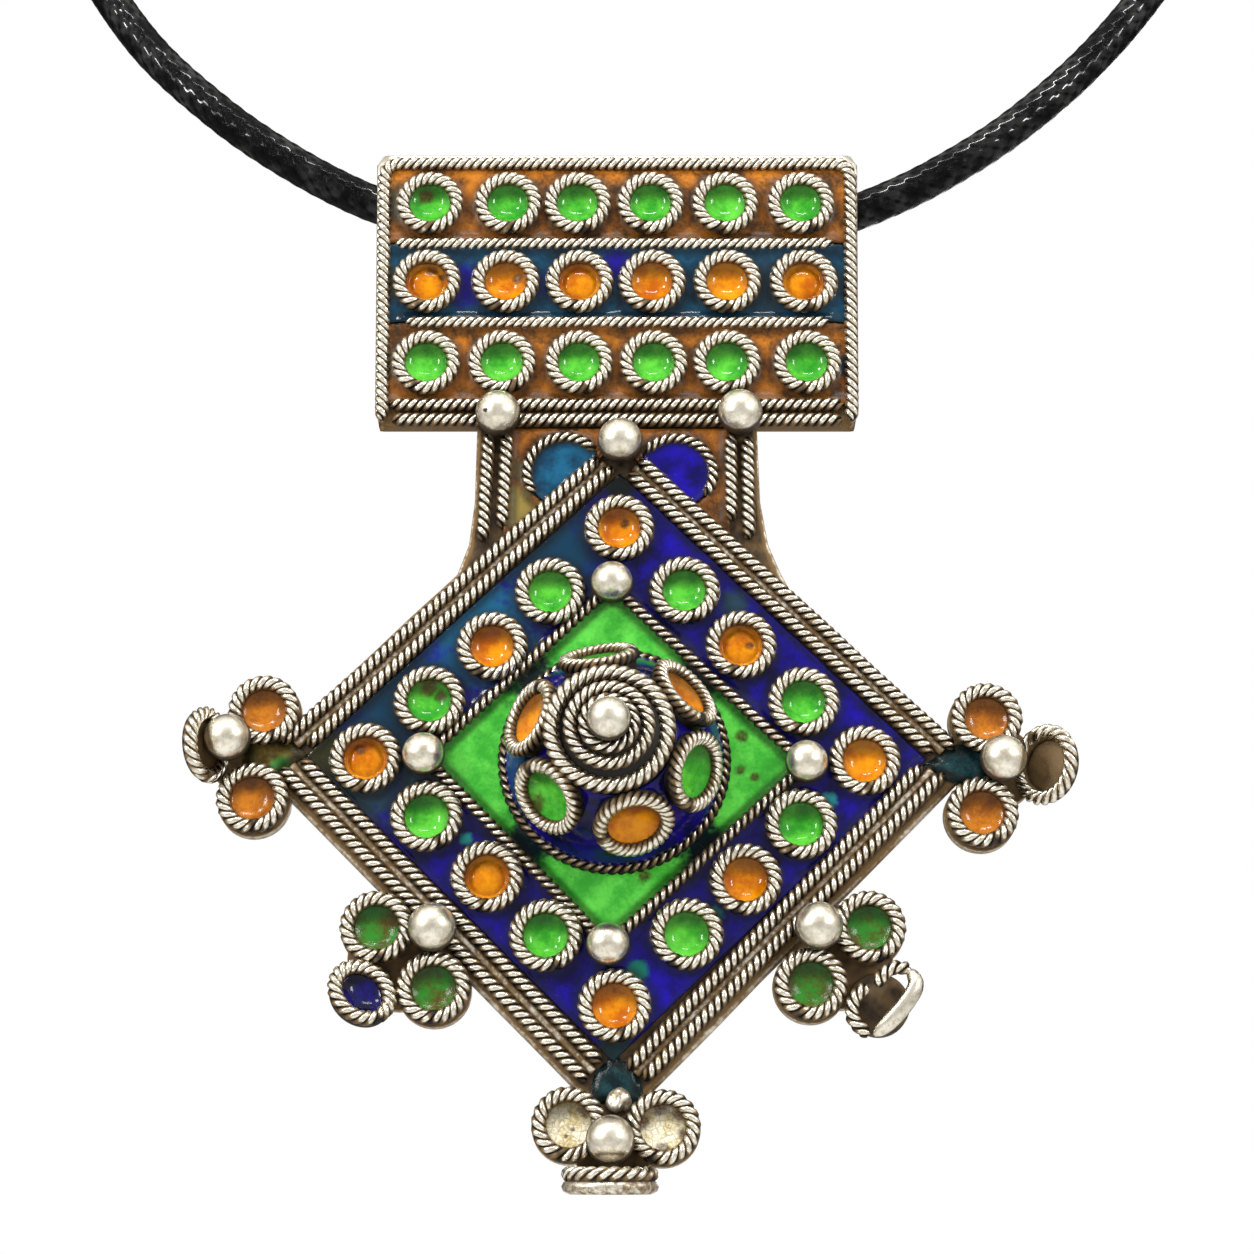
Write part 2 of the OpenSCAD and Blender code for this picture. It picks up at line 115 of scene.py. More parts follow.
# Where the silver round an enamel drop begins, from its middle, and the underside of the enamel
RING_EDGE = RING_R + 0.3
ENAMEL_FOOT = 0.05
# The way out of the drawing
OUTWARDS = (0.0, 0.0, 1.0)

# The lozenge of the plate, the square of wires round the boss, and the boss
LOZ = np.array([-0.1, -39.05])
BOSS = np.array([-0.15, -38.9])
LOZ_A = 27.4
SQUARE_A = 14.3
BOSS_R = 8.3
BOSS_H = 9.7
BOSS_WALL = 0.8

# Rows of the bail: height, places along it
BAIL_ROWS = {
    "top": (7.3, [-15.1, -8.8, -3.2, 2.7, 8.7, 14.8]),
    "middle": (0.4, [-15.2, -8.9, -3.0, 2.8, 8.8, 14.9]),
    "bottom": (-6.6, [-15.1, -9.1, -3.0, 2.9, 8.7, 15.0]),
}
# Band drops clockwise from the top corner: across, up, 1 where orange
BAND_PLACES = [
    (0.2, -20.5, 1), (5.2, -25.6, 0), (9.5, -30.0, 1), (14.2, -34.5, 0),
    (18.7, -39.1, 1), (13.8, -44.0, 0), (9.6, -48.2, 1), (5.2, -52.3, 0),
    (-0.1, -57.6, 1), (-5.2, -52.4, 0), (-9.6, -48.0, 1), (-14.2, -43.4, 0),
    (-18.9, -38.9, 1), (-14.2, -34.4, 0), (-9.5, -30.1, 1), (-5.1, -25.7, 0),
]
# Rings on the boss: direction round it, 1 where orange, tilt, distance out, height
BOSS_RINGS = [
    (100, 0, 62, 6.0, 5.45), (35, 1, 57, 5.9, 5.6), (-21, 0, 57, 5.9, 5.6),
    (-77, 1, 57, 5.9, 5.6), (-139, 0, 57, 5.9, 5.6), (164, 1, 57, 5.9, 5.6),
]
BOSS_RING_R = 2.5
BOSS_RING_D = 1.15
# Coils on top of the boss: radius, height, wire. They and the ball sit a little off its middle
BOSS_COILS = [(4.25, 8.25, 1.28), (2.85, 9.25, 1.04), (1.8, 9.8, 0.98)]
COIL_MIDDLE = (-0.5, -38.6)
BOSS_BALL_D = 3.2
BOSS_BALL_Z = 11.1
# The rope round the foot of the boss: its radius, height, thickness and turns
BOSS_FOOT = (BOSS_R + 0.05, 0.32, 1.0, 25)
# Heights between which the boss is covered with enamel
BOSS_SKIN = (0.75, 7.75)

# Flat cups round the lozenge: group, across, up
FLAT_CUPS = [
    ("left", -26.7, -35.2), ("left", -27.3, -42.0), ("right", 28.0, -35.8), ("right", 27.4, -43.1),
    ("lower_left", -17.7, -51.8), ("lower_left", -13.4, -56.3),
    ("lower_right", 18.7, -51.8), ("lower_right", 14.3, -56.0),
    ("bottom", -3.4, -66.2), ("bottom", 3.4, -66.4),
]
# Bent cups: across, up, out of the face, direction they face, tilt, size, height of the wire
# above the floor, and how wide the bent ring is against its length
BENT_CUPS = {
    "left": (-30.9, -38.1, 1.7, 0, 66, 1.08, 0.2, 1.0),
    "right": (32.4, -39.6, 1.4, 180, 50, 1.16, 0.3, 1.0),
    "lower_left": (-18.8, -57.0, 0.75, 45, 22, 1.0, 1.0, 0.86),
    "bottom": (-0.4, -70.5, 2.0, 90, 84, 1.2, 0.55, 1.12),
}
# Lobes of the plate that carry the clusters: across, up, radius
LOBES = [
    (-28.0, -38.3, 3.0), (28.7, -39.3, 3.2), (-16.0, -53.9, 3.9), (16.6, -53.8, 3.9), (-0.2, -67.6, 3.0),
]
# Balls: across, up, out of the face, and how far from a ball's middle its silver meets the enamel
LARGE_BALLS = [
    (-9.3, -11.2, 1.65), (9.65, -11.1, 1.65), (0.25, -13.5, 1.65),
    (-29.2, -37.6, 2.1), (29.0, -39.2, 2.1), (-13.5, -52.0, 2.1), (14.9, -51.9, 2.1),
    (-0.4, -67.4, 2.1),
]
SMALL_BALLS = [(-0.35, -25.1), (14.3, -39.3), (-0.6, -53.1), (-14.5, -38.7)]
SMALL_BALL_Z = 1.45
LARGE_BALL_EDGE, SMALL_BALL_EDGE = 1.1, 1.2

# How far out the bail's side wires lie, at the top and at the foot
BAIL_SIDE, BAIL_SIDE_LOW = 18.88, 18.5
# Heights of the wires that bound the rows of the bail, from its top border down, and of its foot
ROW_LINES = (11.1, 3.95, -2.95, -10.0)
BORDER_FOOT = -11.3
# Straight rope wires: from across, from up, to across, to up
BAIL_WIRES = [
    (-17.8, ROW_LINES[1], 17.4, ROW_LINES[1]), (-16.8, ROW_LINES[2], 16.9, ROW_LINES[2]),
    (-17.9, ROW_LINES[3], 17.9, ROW_LINES[3]), (-17.7, BORDER_FOOT, 17.7, BORDER_FOOT),
]
NECK_WIRES = [
    (-10.1, -12.5, -10.4, -21.4), (-8.6, -12.4, -8.9, -20.3),
    (8.9, -12.5, 8.9, -19.7), (10.3, -12.7, 10.25, -21.2),
]
LOZENGE_WIRES = [
    (-1.5, -14.6, -25.2, -37.6), (-0.34, -15.27, -23.34, -37.8),
    (1.0, -15.8, 23.9, -38.4), (1.75, -14.65, 25.5, -38.0),
    (-25.3, -39.6, -2.2, -63.0), (-23.75, -38.95, -1.15, -61.65),
    (24.6, -40.0, 2.0, -62.9), (23.0, -39.4, 0.9, -62.1),
]
# Half moons of the neck: across, up, from angle, to angle
MOONS = {"left": (-4.1, -15.7, 35, 220), "right": (4.6, -15.8, -40, 145)}
MOON_R = 2.95
MOON_WIRE_D = 0.95


def hang(points):
    """Stands points of the flat drawing up on the cord, in metres: the drawing is shifted so that its
    hinge point is the origin, turned a quarter turn and the lean about X, and lowered to the hinge."""
    across, up, out = points[..., 0], points[..., 1] - HINGE_UP, points[..., 2] + HINGE_BACK
    c, s = math.cos(LEAN), math.sin(LEAN)
    return MM * np.stack([across, -up * s - out * c, up * c - out * s + HINGE_Z / MM], -1)


def new_object(name, data):
    made = bpy.data.objects.new(name, data)
    bpy.context.scene.collection.objects.link(made)
    return made


def stand(thing, place, target):
    """Puts a camera or a light at a place, facing the target."""
    place, target = Vector(place), Vector(target)
    thing.location = place
    thing.rotation_mode = "QUATERNION"
    thing.rotation_quaternion = (target - place).to_track_quat("-Z", "Y")


def make_camera():
    data = bpy.data.cameras.new("camera")
    data.lens = LENS
    data.sensor_width = SENSOR
    data.clip_start = 0.01
    camera = new_object("camera", data)
    stand(camera, hang(np.array(EYE)), hang(np.array(LOOK)))
    bpy.context.scene.camera = camera


make_camera()


class Signal:
    """A socket in a node tree. Sums, differences and products of it put Math nodes in the tree."""

    def __init__(self, nodes, socket):
        self.nodes = nodes
        self.socket = socket

    def math(self, operation, *terms):
        return self.nodes.node("ShaderNodeMath", {"operation": operation}, dict(enumerate(terms)))

    def __add__(self, other):
        return self.math("ADD", self, other)

    def __radd__(self, other):
        return self.math("ADD", other, self)

    def __sub__(self, other):
        return self.math("SUBTRACT", self, other)

    def __rsub__(self, other):
        return self.math("SUBTRACT", other, self)

    def __mul__(self, other):
        return self.math("MULTIPLY", self, other)

    def __rmul__(self, other):
        return self.math("MULTIPLY", other, self)

    def larger(self, other):
        return self.math("MAXIMUM", self, other)

    def smaller(self, other):
        return self.math("MINIMUM", self, other)

    def wave(self):
        return self.math("SINE", self)

    def step(self, low, high):
        """0 at low, 1 at high, and a smooth rise between them."""
        settings = {"interpolation_type": "SMOOTHSTEP", "clamp": True}
        return self.nodes.node("ShaderNodeMapRange", settings, {0: self, 1: low, 2: high, 3: 0.0, 4: 1.0})


class Nodes:
    """A node tree in the making."""

    def __init__(self, tree):
        self.tree = tree
        self.tree.nodes.clear()

    def node(self, kind, settings=None, inputs=None, output=0):
        """Puts in a node: its settings first, then the values or links of its sockets."""
        made = self.tree.nodes.new(kind)
        for name, value in (settings or {}).items():
            setattr(made, name, value)
        for name, value in (inputs or {}).items():
            self.put(made.inputs[name], value)
        return Signal(self, made.outputs[output])

    def put(self, socket, value):
        if isinstance(value, Signal):
            self.tree.links.new(value.socket, socket)
        else:
            socket.default_value = value


class Finish(Nodes):
    """A material in the making: its nodes, and the shader that its surface ends in."""

    def __init__(self, name):
        self.material = bpy.data.materials.new(name)
        self.material.use_nodes = True
        super().__init__(self.material.node_tree)
        self.shader = self.tree.nodes.new("ShaderNodeBsdfPrincipled")
        end = self.tree.nodes.new("ShaderNodeOutputMaterial")
        self.tree.links.new(self.shader.outputs[0], end.inputs[0])

    def set(self, **sockets):
        """Values or links for the shader's own sockets, named with _ for each space."""
        for name, value in sockets.items():
            self.put(self.shader.inputs[name.replace("_", " ")], value)

    def object_place(self):
        return self.node("ShaderNodeTexCoord", output=3)

    def drawing_place(self):
        """Object coordinates turned back into the flat drawing, in millimetres."""
        turn = math.pi / 2 + LEAN
        up_from_origin = -HINGE_Z / MM
        shift = (0, HINGE_UP + math.sin(turn) * up_from_origin, -HINGE_BACK + math.cos(turn) * up_from_origin)
        return self.node("ShaderNodeMapping", inputs={
            "Vector": self.object_place(), "Location": shift,
            "Rotation": (-turn, 0, 0), "Scale": (1 / MM, 1 / MM, 1 / MM),
        })

    def stretched(self, place, scale, turn=0.0):
        inputs = {"Vector": place, "Scale": scale, "Rotation": (0, 0, turn)}
        return self.node("ShaderNodeMapping", inputs=inputs)

    def attribute(self, name):
        return self.node("ShaderNodeAttribute", {"attribute_name": name}, output=2)

    def noise(self, place, scale, detail=3.0, rough=0.5, bend=0.0):
        return self.node("ShaderNodeTexNoise", inputs={
            "Vector": place, "Scale": scale, "Detail": detail, "Roughness": rough, "Distortion": bend,
        })

    def cells(self, place, scale, feature="F1"):
        return self.node("ShaderNodeTexVoronoi", {"feature": feature}, {"Vector": place, "Scale": scale})

    def mix(self, share, first, second):
        """A colour between two, by share."""
        return self.node("ShaderNodeMix", {"data_type": "RGBA"}, {0: share, 6: first, 7: second}, output=2)

    def spot(self, flat_place, warp, x, y, radius):
        """1 within an uneven patch round a point of the drawing, 0 outside it."""
        ends = {0: flat_place, 1: (x, y, 0.0)}
        away = self.node("ShaderNodeVectorMath", {"operation": "DISTANCE"}, ends, output=1)
        return 1 - (away + warp * radius).step(0.45 * radius, 1.3 * radius)

    def bump(self, height, strength, distance):
        inputs = {"Height": height, "Strength": strength, "Distance": distance}
        return self.node("ShaderNodeBump", inputs=inputs)


def tone(red, green, blue):
    """A colour as the eye reads it, from 0 to 255, as the shader's linear light."""
    parts = [v / 255 for v in (red, green, blue)]
    return tuple(v / 12.92 if v <= 0.04045 else ((v + 0.055) / 1.055) ** 2.4 for v in parts) + (1.0,)


def silver(name, tarnish, shine=0.24, crust=((104, 86, 58), (62, 50, 32)), mottle=0.55):
    """Silver that is bright where it is rubbed and where its top is painted as lit. Where the soil and
    painted shade on it or a noise is high it is brown, in a lighter and a darker tone of crust. Mottle is
    how far the fine noise breaks up the brown's edge."""
    finish = Finish(name)
    place = finish.drawing_place()
    fine = finish.noise(place, 2.2, 5, 0.65)
    broad = finish.noise(place, 0.22, 3, 0.55)
    soil = finish.attribute("soil")
    dirt_and_shade = (soil + (fine - 0.5) * mottle + (broad - 0.5) * 0.6 + (tarnish - 0.5)).step(0.32, 0.78)
    deep = (soil + (finish.noise(place, 0.9, 2) - 0.5) * 0.8).step(0.85, 1.55)
    worn_and_lit = finish.mix(fine.step(0.35, 0.7), tone(252, 247, 232), tone(218, 207, 184))
    brown = finish.mix(deep, tone(*crust[0]), tone(*crust[1]))
    scratches = finish.noise(finish.stretched(place, (9, 1.1, 1), 0.5), 3.0, 2)
    pits = finish.cells(place, 1.6).step(0.02, 0.11)
    finish.set(
        Base_Color=finish.mix(dirt_and_shade, worn_and_lit, brown),
        Metallic=1 - dirt_and_shade * 0.65,
        Roughness=shine + dirt_and_shade * 0.34 + (fine - 0.5) * 0.16 + (scratches - 0.5) * 0.08,
        Normal=finish.bump(fine * 0.6 + scratches * 0.25 + pits * 0.35, 0.22, 0.00006),
    )
    return finish.material


def enamel(name, slot, lit, shade, spots=(), patches=(), grain=0.0, gloss=0.09, crackle=0.0):
    """Glass over metal: a colour that shifts between two tones, darker at its rim as painted shade, with
    dark specks, brown stains at the places in spots and areas of another colour at those in patches,
    each given as across, up and radius. Grain roughens it, and crackle lays brown cracks over it. Gives
    the material, and the slot that it goes in."""
    finish = Finish(name)
    place = finish.drawing_place()
    flat = finish.stretched(place, (1, 1, 0))
    cloud = finish.noise(place, 0.55, 3, 0.6)
    fine = finish.noise(place, 4.0, 4, 0.7)
    warp = (finish.noise(place, 1.3, 4, 0.6) - 0.5) * 1.5
    rim = finish.attribute("rim")
    colour = finish.mix((cloud + (fine - 0.5) * (0.25 + grain)).step(0.3, 0.7), lit, shade)
    for x, y, radius, other in patches:
        colour = finish.mix(finish.spot(flat, warp, x, y, radius), colour, other)
    # Painted shade: towards its rim the colour goes most of the way to near black.
    rim_colour = finish.mix(0.78, colour, (0.008, 0.009, 0.006, 1))
    colour = finish.mix((rim + (fine - 0.5) * 0.3) * 0.85, colour, rim_colour)
    specks = 1 - finish.cells(place, 1.0).step(0.03, 0.075)
    stain = specks * 0.8
    for x, y, radius in spots:
        stain = stain.larger(finish.spot(flat, warp, x, y, radius) * (0.25 + fine * 1.1))
    stain = stain.smaller(1.0)
    colour = finish.mix(stain, colour, tone(66, 36, 15))
    height = fine * (0.12 + grain * 2) + cloud * 0.7 - stain * 0.8
    if crackle:
        cracks = 1 - finish.cells(place, 1.9, "DISTANCE_TO_EDGE").step(0.01, 0.07)
        colour = finish.mix(cracks * crackle, colour, tone(84, 62, 30))
        height = height - cracks * 0.5
    finish.set(
        Base_Color=colour,
        Roughness=gloss + stain * 0.3 + (fine - 0.4) * (0.10 + grain * 0.4),
        Normal=finish.bump(height, 0.18 + grain * 0.5, 0.00008),
        Specular_IOR_Level=0.2,
    )
    return finish.material, slot


def braid_black():
    """Waxed black braid: near black, glossy along its threads, with fine threads across each strand."""
    finish = Finish("black_braid")
    place = finish.object_place()
    high = finish.attribute("high")
    weave = finish.attribute("weave")
    fine = finish.noise(place, 2600, 3, 0.6)
    broad = finish.noise(place, 420, 3)
    threads = (weave * TAU * 5).wave() * 0.5 + 0.5
    finish.set(
        Base_Color=finish.mix(high.step(0.2, 0.9), tone(2, 2, 3), tone(7, 7, 8)),
        Roughness=0.2 + (broad - 0.5) * 0.3 + (1 - high) * 0.3,
        Coat_Weight=high.step(0.45, 0.85) * (0.08 + broad.step(0.42, 0.62) * 0.8),
        Normal=finish.bump(threads * 0.6 + fine * 0.3, 0.2, 0.00006),
        Specular_IOR_Level=0.05,
        Coat_Roughness=0.07,
    )
    return finish.material


def unit(vectors):
    """The same directions, one long."""
    return vectors / np.linalg.norm(vectors, axis=-1, keepdims=True)


def rays(angles):
    """Directions in a plane, one to an angle: its cosine and its sine."""
    return np.stack([np.cos(angles), np.sin(angles)], -1)


def full_turn(steps):
    """Angles in even steps round a full turn."""
    return np.arange(steps) / steps * TAU


def raised(flat, z):
    """Places of the drawing with their heights: one height for all, or one for each."""
    return np.concatenate([flat, np.broadcast_to(z, flat.shape[:-1])[..., None]], -1)


def six_volumes(points, corners):
    """Six times the volume between triangles and the origin. Its sign tells which way they face."""
    a, b, c = (points[corners[:, k]] for k in range(3))
    return np.einsum("ij,ij->", a, np.cross(b, c))


class Pile:
    """Gathers closed surfaces into one mesh: points, faces, and one or two numbers on each point."""

    def __init__(self, *labels):
        self.labels = labels
        self.points = []
        self.quads = []
        self.tris = []
        self.marks = {label: [] for label in labels}
        self.count = 0

    def add(self, grid, wrap_rows=False, marks=None):
        """Adds a grid (rows, columns, 3) whose columns close on themselves. Its rows either wrap too,
        or end in fans round the middle of the first and the last row. Faces are turned outwards by
        the sign of the volume that they enclose."""
        rows, columns = grid.shape[:2]
        marks = marks or {}
        points = grid.reshape(-1, 3)
        index = np.arange(rows * columns).reshape(rows, columns)
        lower = index if wrap_rows else index[:-1]
        upper = np.roll(index, -1, 0) if wrap_rows else index[1:]
        quads = np.stack([lower, np.roll(lower, -1, 1), np.roll(upper, -1, 1), upper], -1).reshape(-1, 4)
        tris = np.zeros((0, 3), int)
        values = {k: np.broadcast_to(marks.get(k, 0.0), (rows, columns)).ravel() for k in self.labels}
        if not wrap_rows:
            middles = np.stack([grid[0].mean(0), grid[-1].mean(0)])
            points = np.concatenate([points, middles])
            first, last = index[0], index[-1]
            start = np.full(columns, rows * columns)
            tris = np.concatenate([
                np.stack([start, np.roll(first, -1), first], -1),
                np.stack([start + 1, last, np.roll(last, -1)], -1),
            ])
            values = {k: np.append(v, [v[:columns].mean(), v[-columns:].mean()]) for k, v in values.items()}
        volume = sum(six_volumes(points, corners) for corners in (quads[:, :3], quads[:, [0, 2, 3]], tris))
        if volume < 0:
            quads, tris = quads[:, ::-1], tris[:, ::-1]
        self.points.append(points)
        self.quads.append(quads + self.count)
        self.tris.append(tris + self.count)
        for label in self.labels:
            self.marks[label].append(values[label])
        self.count += len(points)

    def make(self, name, material, body, slot, nodes, place=hang):
        """Builds the mesh, puts it in its place, ties it to its body and hides its nodes. The slot is not
        used.
        """
        points = place(np.concatenate(self.points))
        quads, tris = np.concatenate(self.quads), np.concatenate(self.tris)
        corners = np.concatenate([quads.ravel(), tris.ravel()]).astype(np.int32)
        starts = np.concatenate([np.arange(len(quads)) * 4, quads.size + np.arange(len(tris)) * 3])
        mesh = bpy.data.meshes.new(name)
        mesh.vertices.add(len(points))
        mesh.vertices.foreach_set("co", points.astype(np.float32).ravel())
        mesh.loops.add(len(corners))
        mesh.loops.foreach_set("vertex_index", corners)
        mesh.polygons.add(len(starts))
        mesh.polygons.foreach_set("loop_start", starts.astype(np.int32))
        mesh.update(calc_edges=True)
        mesh.polygons.foreach_set("use_smooth", np.ones(len(starts), bool))
        for label in self.labels:
            layer = mesh.attributes.new(label, "FLOAT", "POINT")
            layer.data.foreach_set("value", np.concatenate(self.marks[label]).astype(np.float32))
        mesh.materials.append(material)
        piece = new_object(name, mesh)
        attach(piece, body)
        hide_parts(*nodes)
        return piece


def directions(path, up, closed=False):
    """Two directions at each point of a path: the side, square to its run and to up, and the lift,
    square to both. The run comes from the differences of its points."""
    if closed:
        run = unit(np.roll(path, -1, 0) - np.roll(path, 1, 0))
    else:
        run = unit(np.gradient(path, axis=0))
    side = unit(np.cross(run, up))
    return side, np.cross(side, run)


def tube(path, side, lift, wide, high, steps):
    """A skin round a path, a row to each of its points: an ellipse that reaches wide along the side and
    high along the lift."""
    angle = full_turn(steps)
    across = side[:, None] * (np.cos(angle) * wide)[..., None]
    return path[:, None] + across + lift[:, None] * (np.sin(angle) * high)[..., None]


def ripple(places, scale, seed):
    """A smooth uneven height from -1 to 1: the mean of six sine waves that run in seeded directions."""
    dice = np.random.default_rng(seed)
    total = np.zeros(places.shape[:-1])
    for _ in range(6):
        way = unit(dice.normal(size=places.shape[-1])) * scale * dice.uniform(0.6, 1.6)
        total += np.sin(places @ way + dice.uniform(0, TAU))
    return total / 6


def smooth_rise(values, low, high):
    """0 below low, 1 above high, and a cubic rise between them."""
    share = np.clip((values - low) / (high - low), 0, 1)
    return share * share * (3 - 2 * share)


def add_rope(pile, path, thick, turns, closed=False, up=OUTWARDS, start=0.0, soil=0.0, worn_and_lit=RUBBED_AND_LIT):
    """Three strands wound right-handed round a path. The middle of a strand stands off the path, at an
    angle that grows evenly along it; its section is an ellipse square to the strand, narrower than it
    is high, so that a groove stays open between the strands. The ends of an open rope taper over a few
    points. Tarnish grows down into the groove. Soil and painted shade grow down the rope's sides, leaving
    its top bright as if rubbed and lit, between the two depths of the last argument, which are -1 on its
    top and 0 at its sides."""
    side, lift = directions(path, up, closed)
    count = len(path)
    share = np.arange(count) / (count if closed else count - 1)
    from_end = np.minimum(np.arange(count), np.arange(count)[::-1])
    end = np.ones(count) if closed else np.clip((from_end + 0.4) / 3.5, 0, 1) ** 0.5
    size = (thick * end)[:, None]
    for strand in range(STRANDS):
        turn = TAU * (turns * share + strand / STRANDS + start)
        out = np.cos(turn)[:, None] * side + np.sin(turn)[:, None] * lift
        middle = path + out * size * STRAND_OUT
        flank, rise = directions(middle, out, closed)
        grid = tube(middle, flank, rise, size * STRAND_WIDE, size * STRAND_HIGH, steps=7)
        off = np.linalg.norm(grid - path[:, None], axis=-1) / (size / 2)
        below = (path[:, None] - grid) @ np.asarray(up, float) / (thick / 2)
        groove = 1 - smooth_rise(off, 0.64, 0.96)
        pile.add(grid, closed, {"soil": soil + 1.25 * groove + smooth_rise(below, *worn_and_lit)})


def straight(wire, z):
    """Points along a wire from end to end, a little bowed and uneven, and its number of turns."""
    a, b = np.array([*wire[:2], z]), np.array([*wire[2:], z])
    long = np.linalg.norm(b - a)
    turns = long / TURN
    share = np.linspace(0, 1, int(turns * STEPS))[:, None]
    across = np.array([-(b - a)[1], (b - a)[0], 0]) / long
    bow = 0.05 * ripple(share * long, 0.35, int(abs(a.sum()) * 100))[:, None]
    return a + (b - a) * share + across * bow, turns


def circle(radius, z, steps, start=0.0, end=360.0, closed=True):
    """Points round a circle of the flat drawing about the origin."""
    angle = np.radians(np.linspace(start, end, steps, endpoint=not closed))
    return raised(radius * rays(angle), z)


def lathe(profile, steps):
    """A profile of distances from the axis and heights, turned round the axis: rows go along the
    profile, columns round the axis."""
    profile = np.asarray(profile, float)
    return raised(profile[:, None, :1] * rays(full_turn(steps)), profile[:, 1:])


def turned(points, place, direction=0.0, tilt=0.0, size=1.0):
    """Points about the origin, scaled, tipped towards +x by tilt, turned to a direction and placed."""
    d, t = math.radians(direction), math.radians(tilt)
    tip = np.array([[math.cos(t), 0, math.sin(t)], [0, 1, 0], [-math.sin(t), 0, math.cos(t)]])
    spin = np.array([[math.cos(d), -math.sin(d), 0], [math.sin(d), math.cos(d), 0], [0, 0, 1]])
    return (points * size) @ (spin @ tip).T + np.asarray(place, float)


def add_bezel(
    pile, move, radius=RING_R + 0.03, thick=ROPE_D, z=RING_Z, foot=0.0, turns=7, soil=0.0, worn_and_lit=RING_WORN_AND_LIT
):
    """A collar of sheet, a lathed loop of a profile, with a closed ring of rope wire on its lip. The
    joint of the wire, somewhere in the lower part of the ring, is black."""
    inner, outer = radius - 0.52, radius + 0.22
    profile = [
        (outer + 0.04, foot - 0.1), (outer, foot + 0.14), (outer, z - 0.15), (radius, z + 0.1),
        (inner + 0.1, z + 0.05), (inner, z - 0.12), (inner, foot - 0.1),
    ]
    grid = lathe(profile, 48)
    low = 1 - smooth_rise(grid[..., 2], foot, z)
    # The collar is dark, and darker towards its foot: tarnish and painted shade.
    pile.add(move(grid), True, {"soil": 1.1 + 0.4 * low + soil})
    path = circle(radius, z, turns * STEPS)
    wobble = 0.03 * ripple(path[:, :2], 0.9, int(1000 * abs(float(move(path[:1])[0, 0]))))
    path[:, :2] *= (1 + wobble / radius)[:, None]
    lift = unit(move(np.array([OUTWARDS])) - move(np.zeros((1, 3))))[0]
    joint = rng.uniform(-2.0, -1.1)
    from_joint = np.arctan2(path[:, 1], path[:, 0]) - joint
    joint_soil = 1.3 * np.exp(-((from_joint / 0.11) ** 2))[:, None]
    add_rope(pile, move(path), thick, turns, True, lift, rng.random(), soil + joint_soil, worn_and_lit)


def ball_grid(place, across, seed):
    """A sphere with a slightly uneven skin: its radius swells and sinks by a ripple of a few hundredths."""
    grid = lathe(rays(np.radians(np.linspace(-88, 88, 22))), 36)
    grid *= (across / 2) * (1 + 0.018 * ripple(grid, 1.6, seed))[..., None]
    return grid + np.asarray(place, float)


def add_ball(pile, place, across, seed, pit=None):
    """A ball that darkens down its sides from its top, by tarnish near the plate and painted shade towards
    its rim, and black in a pit, given from its middle.
    """
    grid = ball_grid(place, across, seed)
    low = (place[2] - grid[..., 2]) / (across / 2)
    soil = 0.06 + 1.3 * smooth_rise(low, -0.74, 0.0)
    if pit:
        from_pit = np.linalg.norm(grid - (np.asarray(place) + pit), axis=-1)
        soil += 2.0 * np.exp(-((from_pit / 0.2) ** 2))
    pile.add(grid, False, {"soil": soil})


def reach(ray):
    """How far the plate reaches from the lozenge's middle in each direction: the furthest crossing of
    a ray with the sides of the lozenge and of the neck."""
    lozenge = np.array([(0, LOZ_A), (LOZ_A, 0), (0, -LOZ_A), (-LOZ_A, 0)], float)
    neck = np.array([
        (-11, -10), (-11.1, -18), (-11.5, -21.5), (-12.4, -24), (-13.8, -26),
        (13.8, -26), (12.8, -24), (11.8, -21.5), (11.2, -18), (11, -10),
    ], float) - LOZ
    far = np.zeros(len(ray))
    for outline in (lozenge, neck):
        for a, b in zip(outline, np.roll(outline, -1, 0)):
            side = b - a
            cross = ray[:, 0] * side[1] - ray[:, 1] * side[0]
            cross = np.where(np.abs(cross) < 1e-9, 1e-9, cross)
            along = (a[0] * side[1] - a[1] * side[0]) / cross
            share = (a[0] * ray[:, 1] - a[1] * ray[:, 0]) / cross
            hit = (share >= 0) & (share <= 1) & (along > 0)
            far = np.where(hit, np.maximum(far, along), far)
    return far


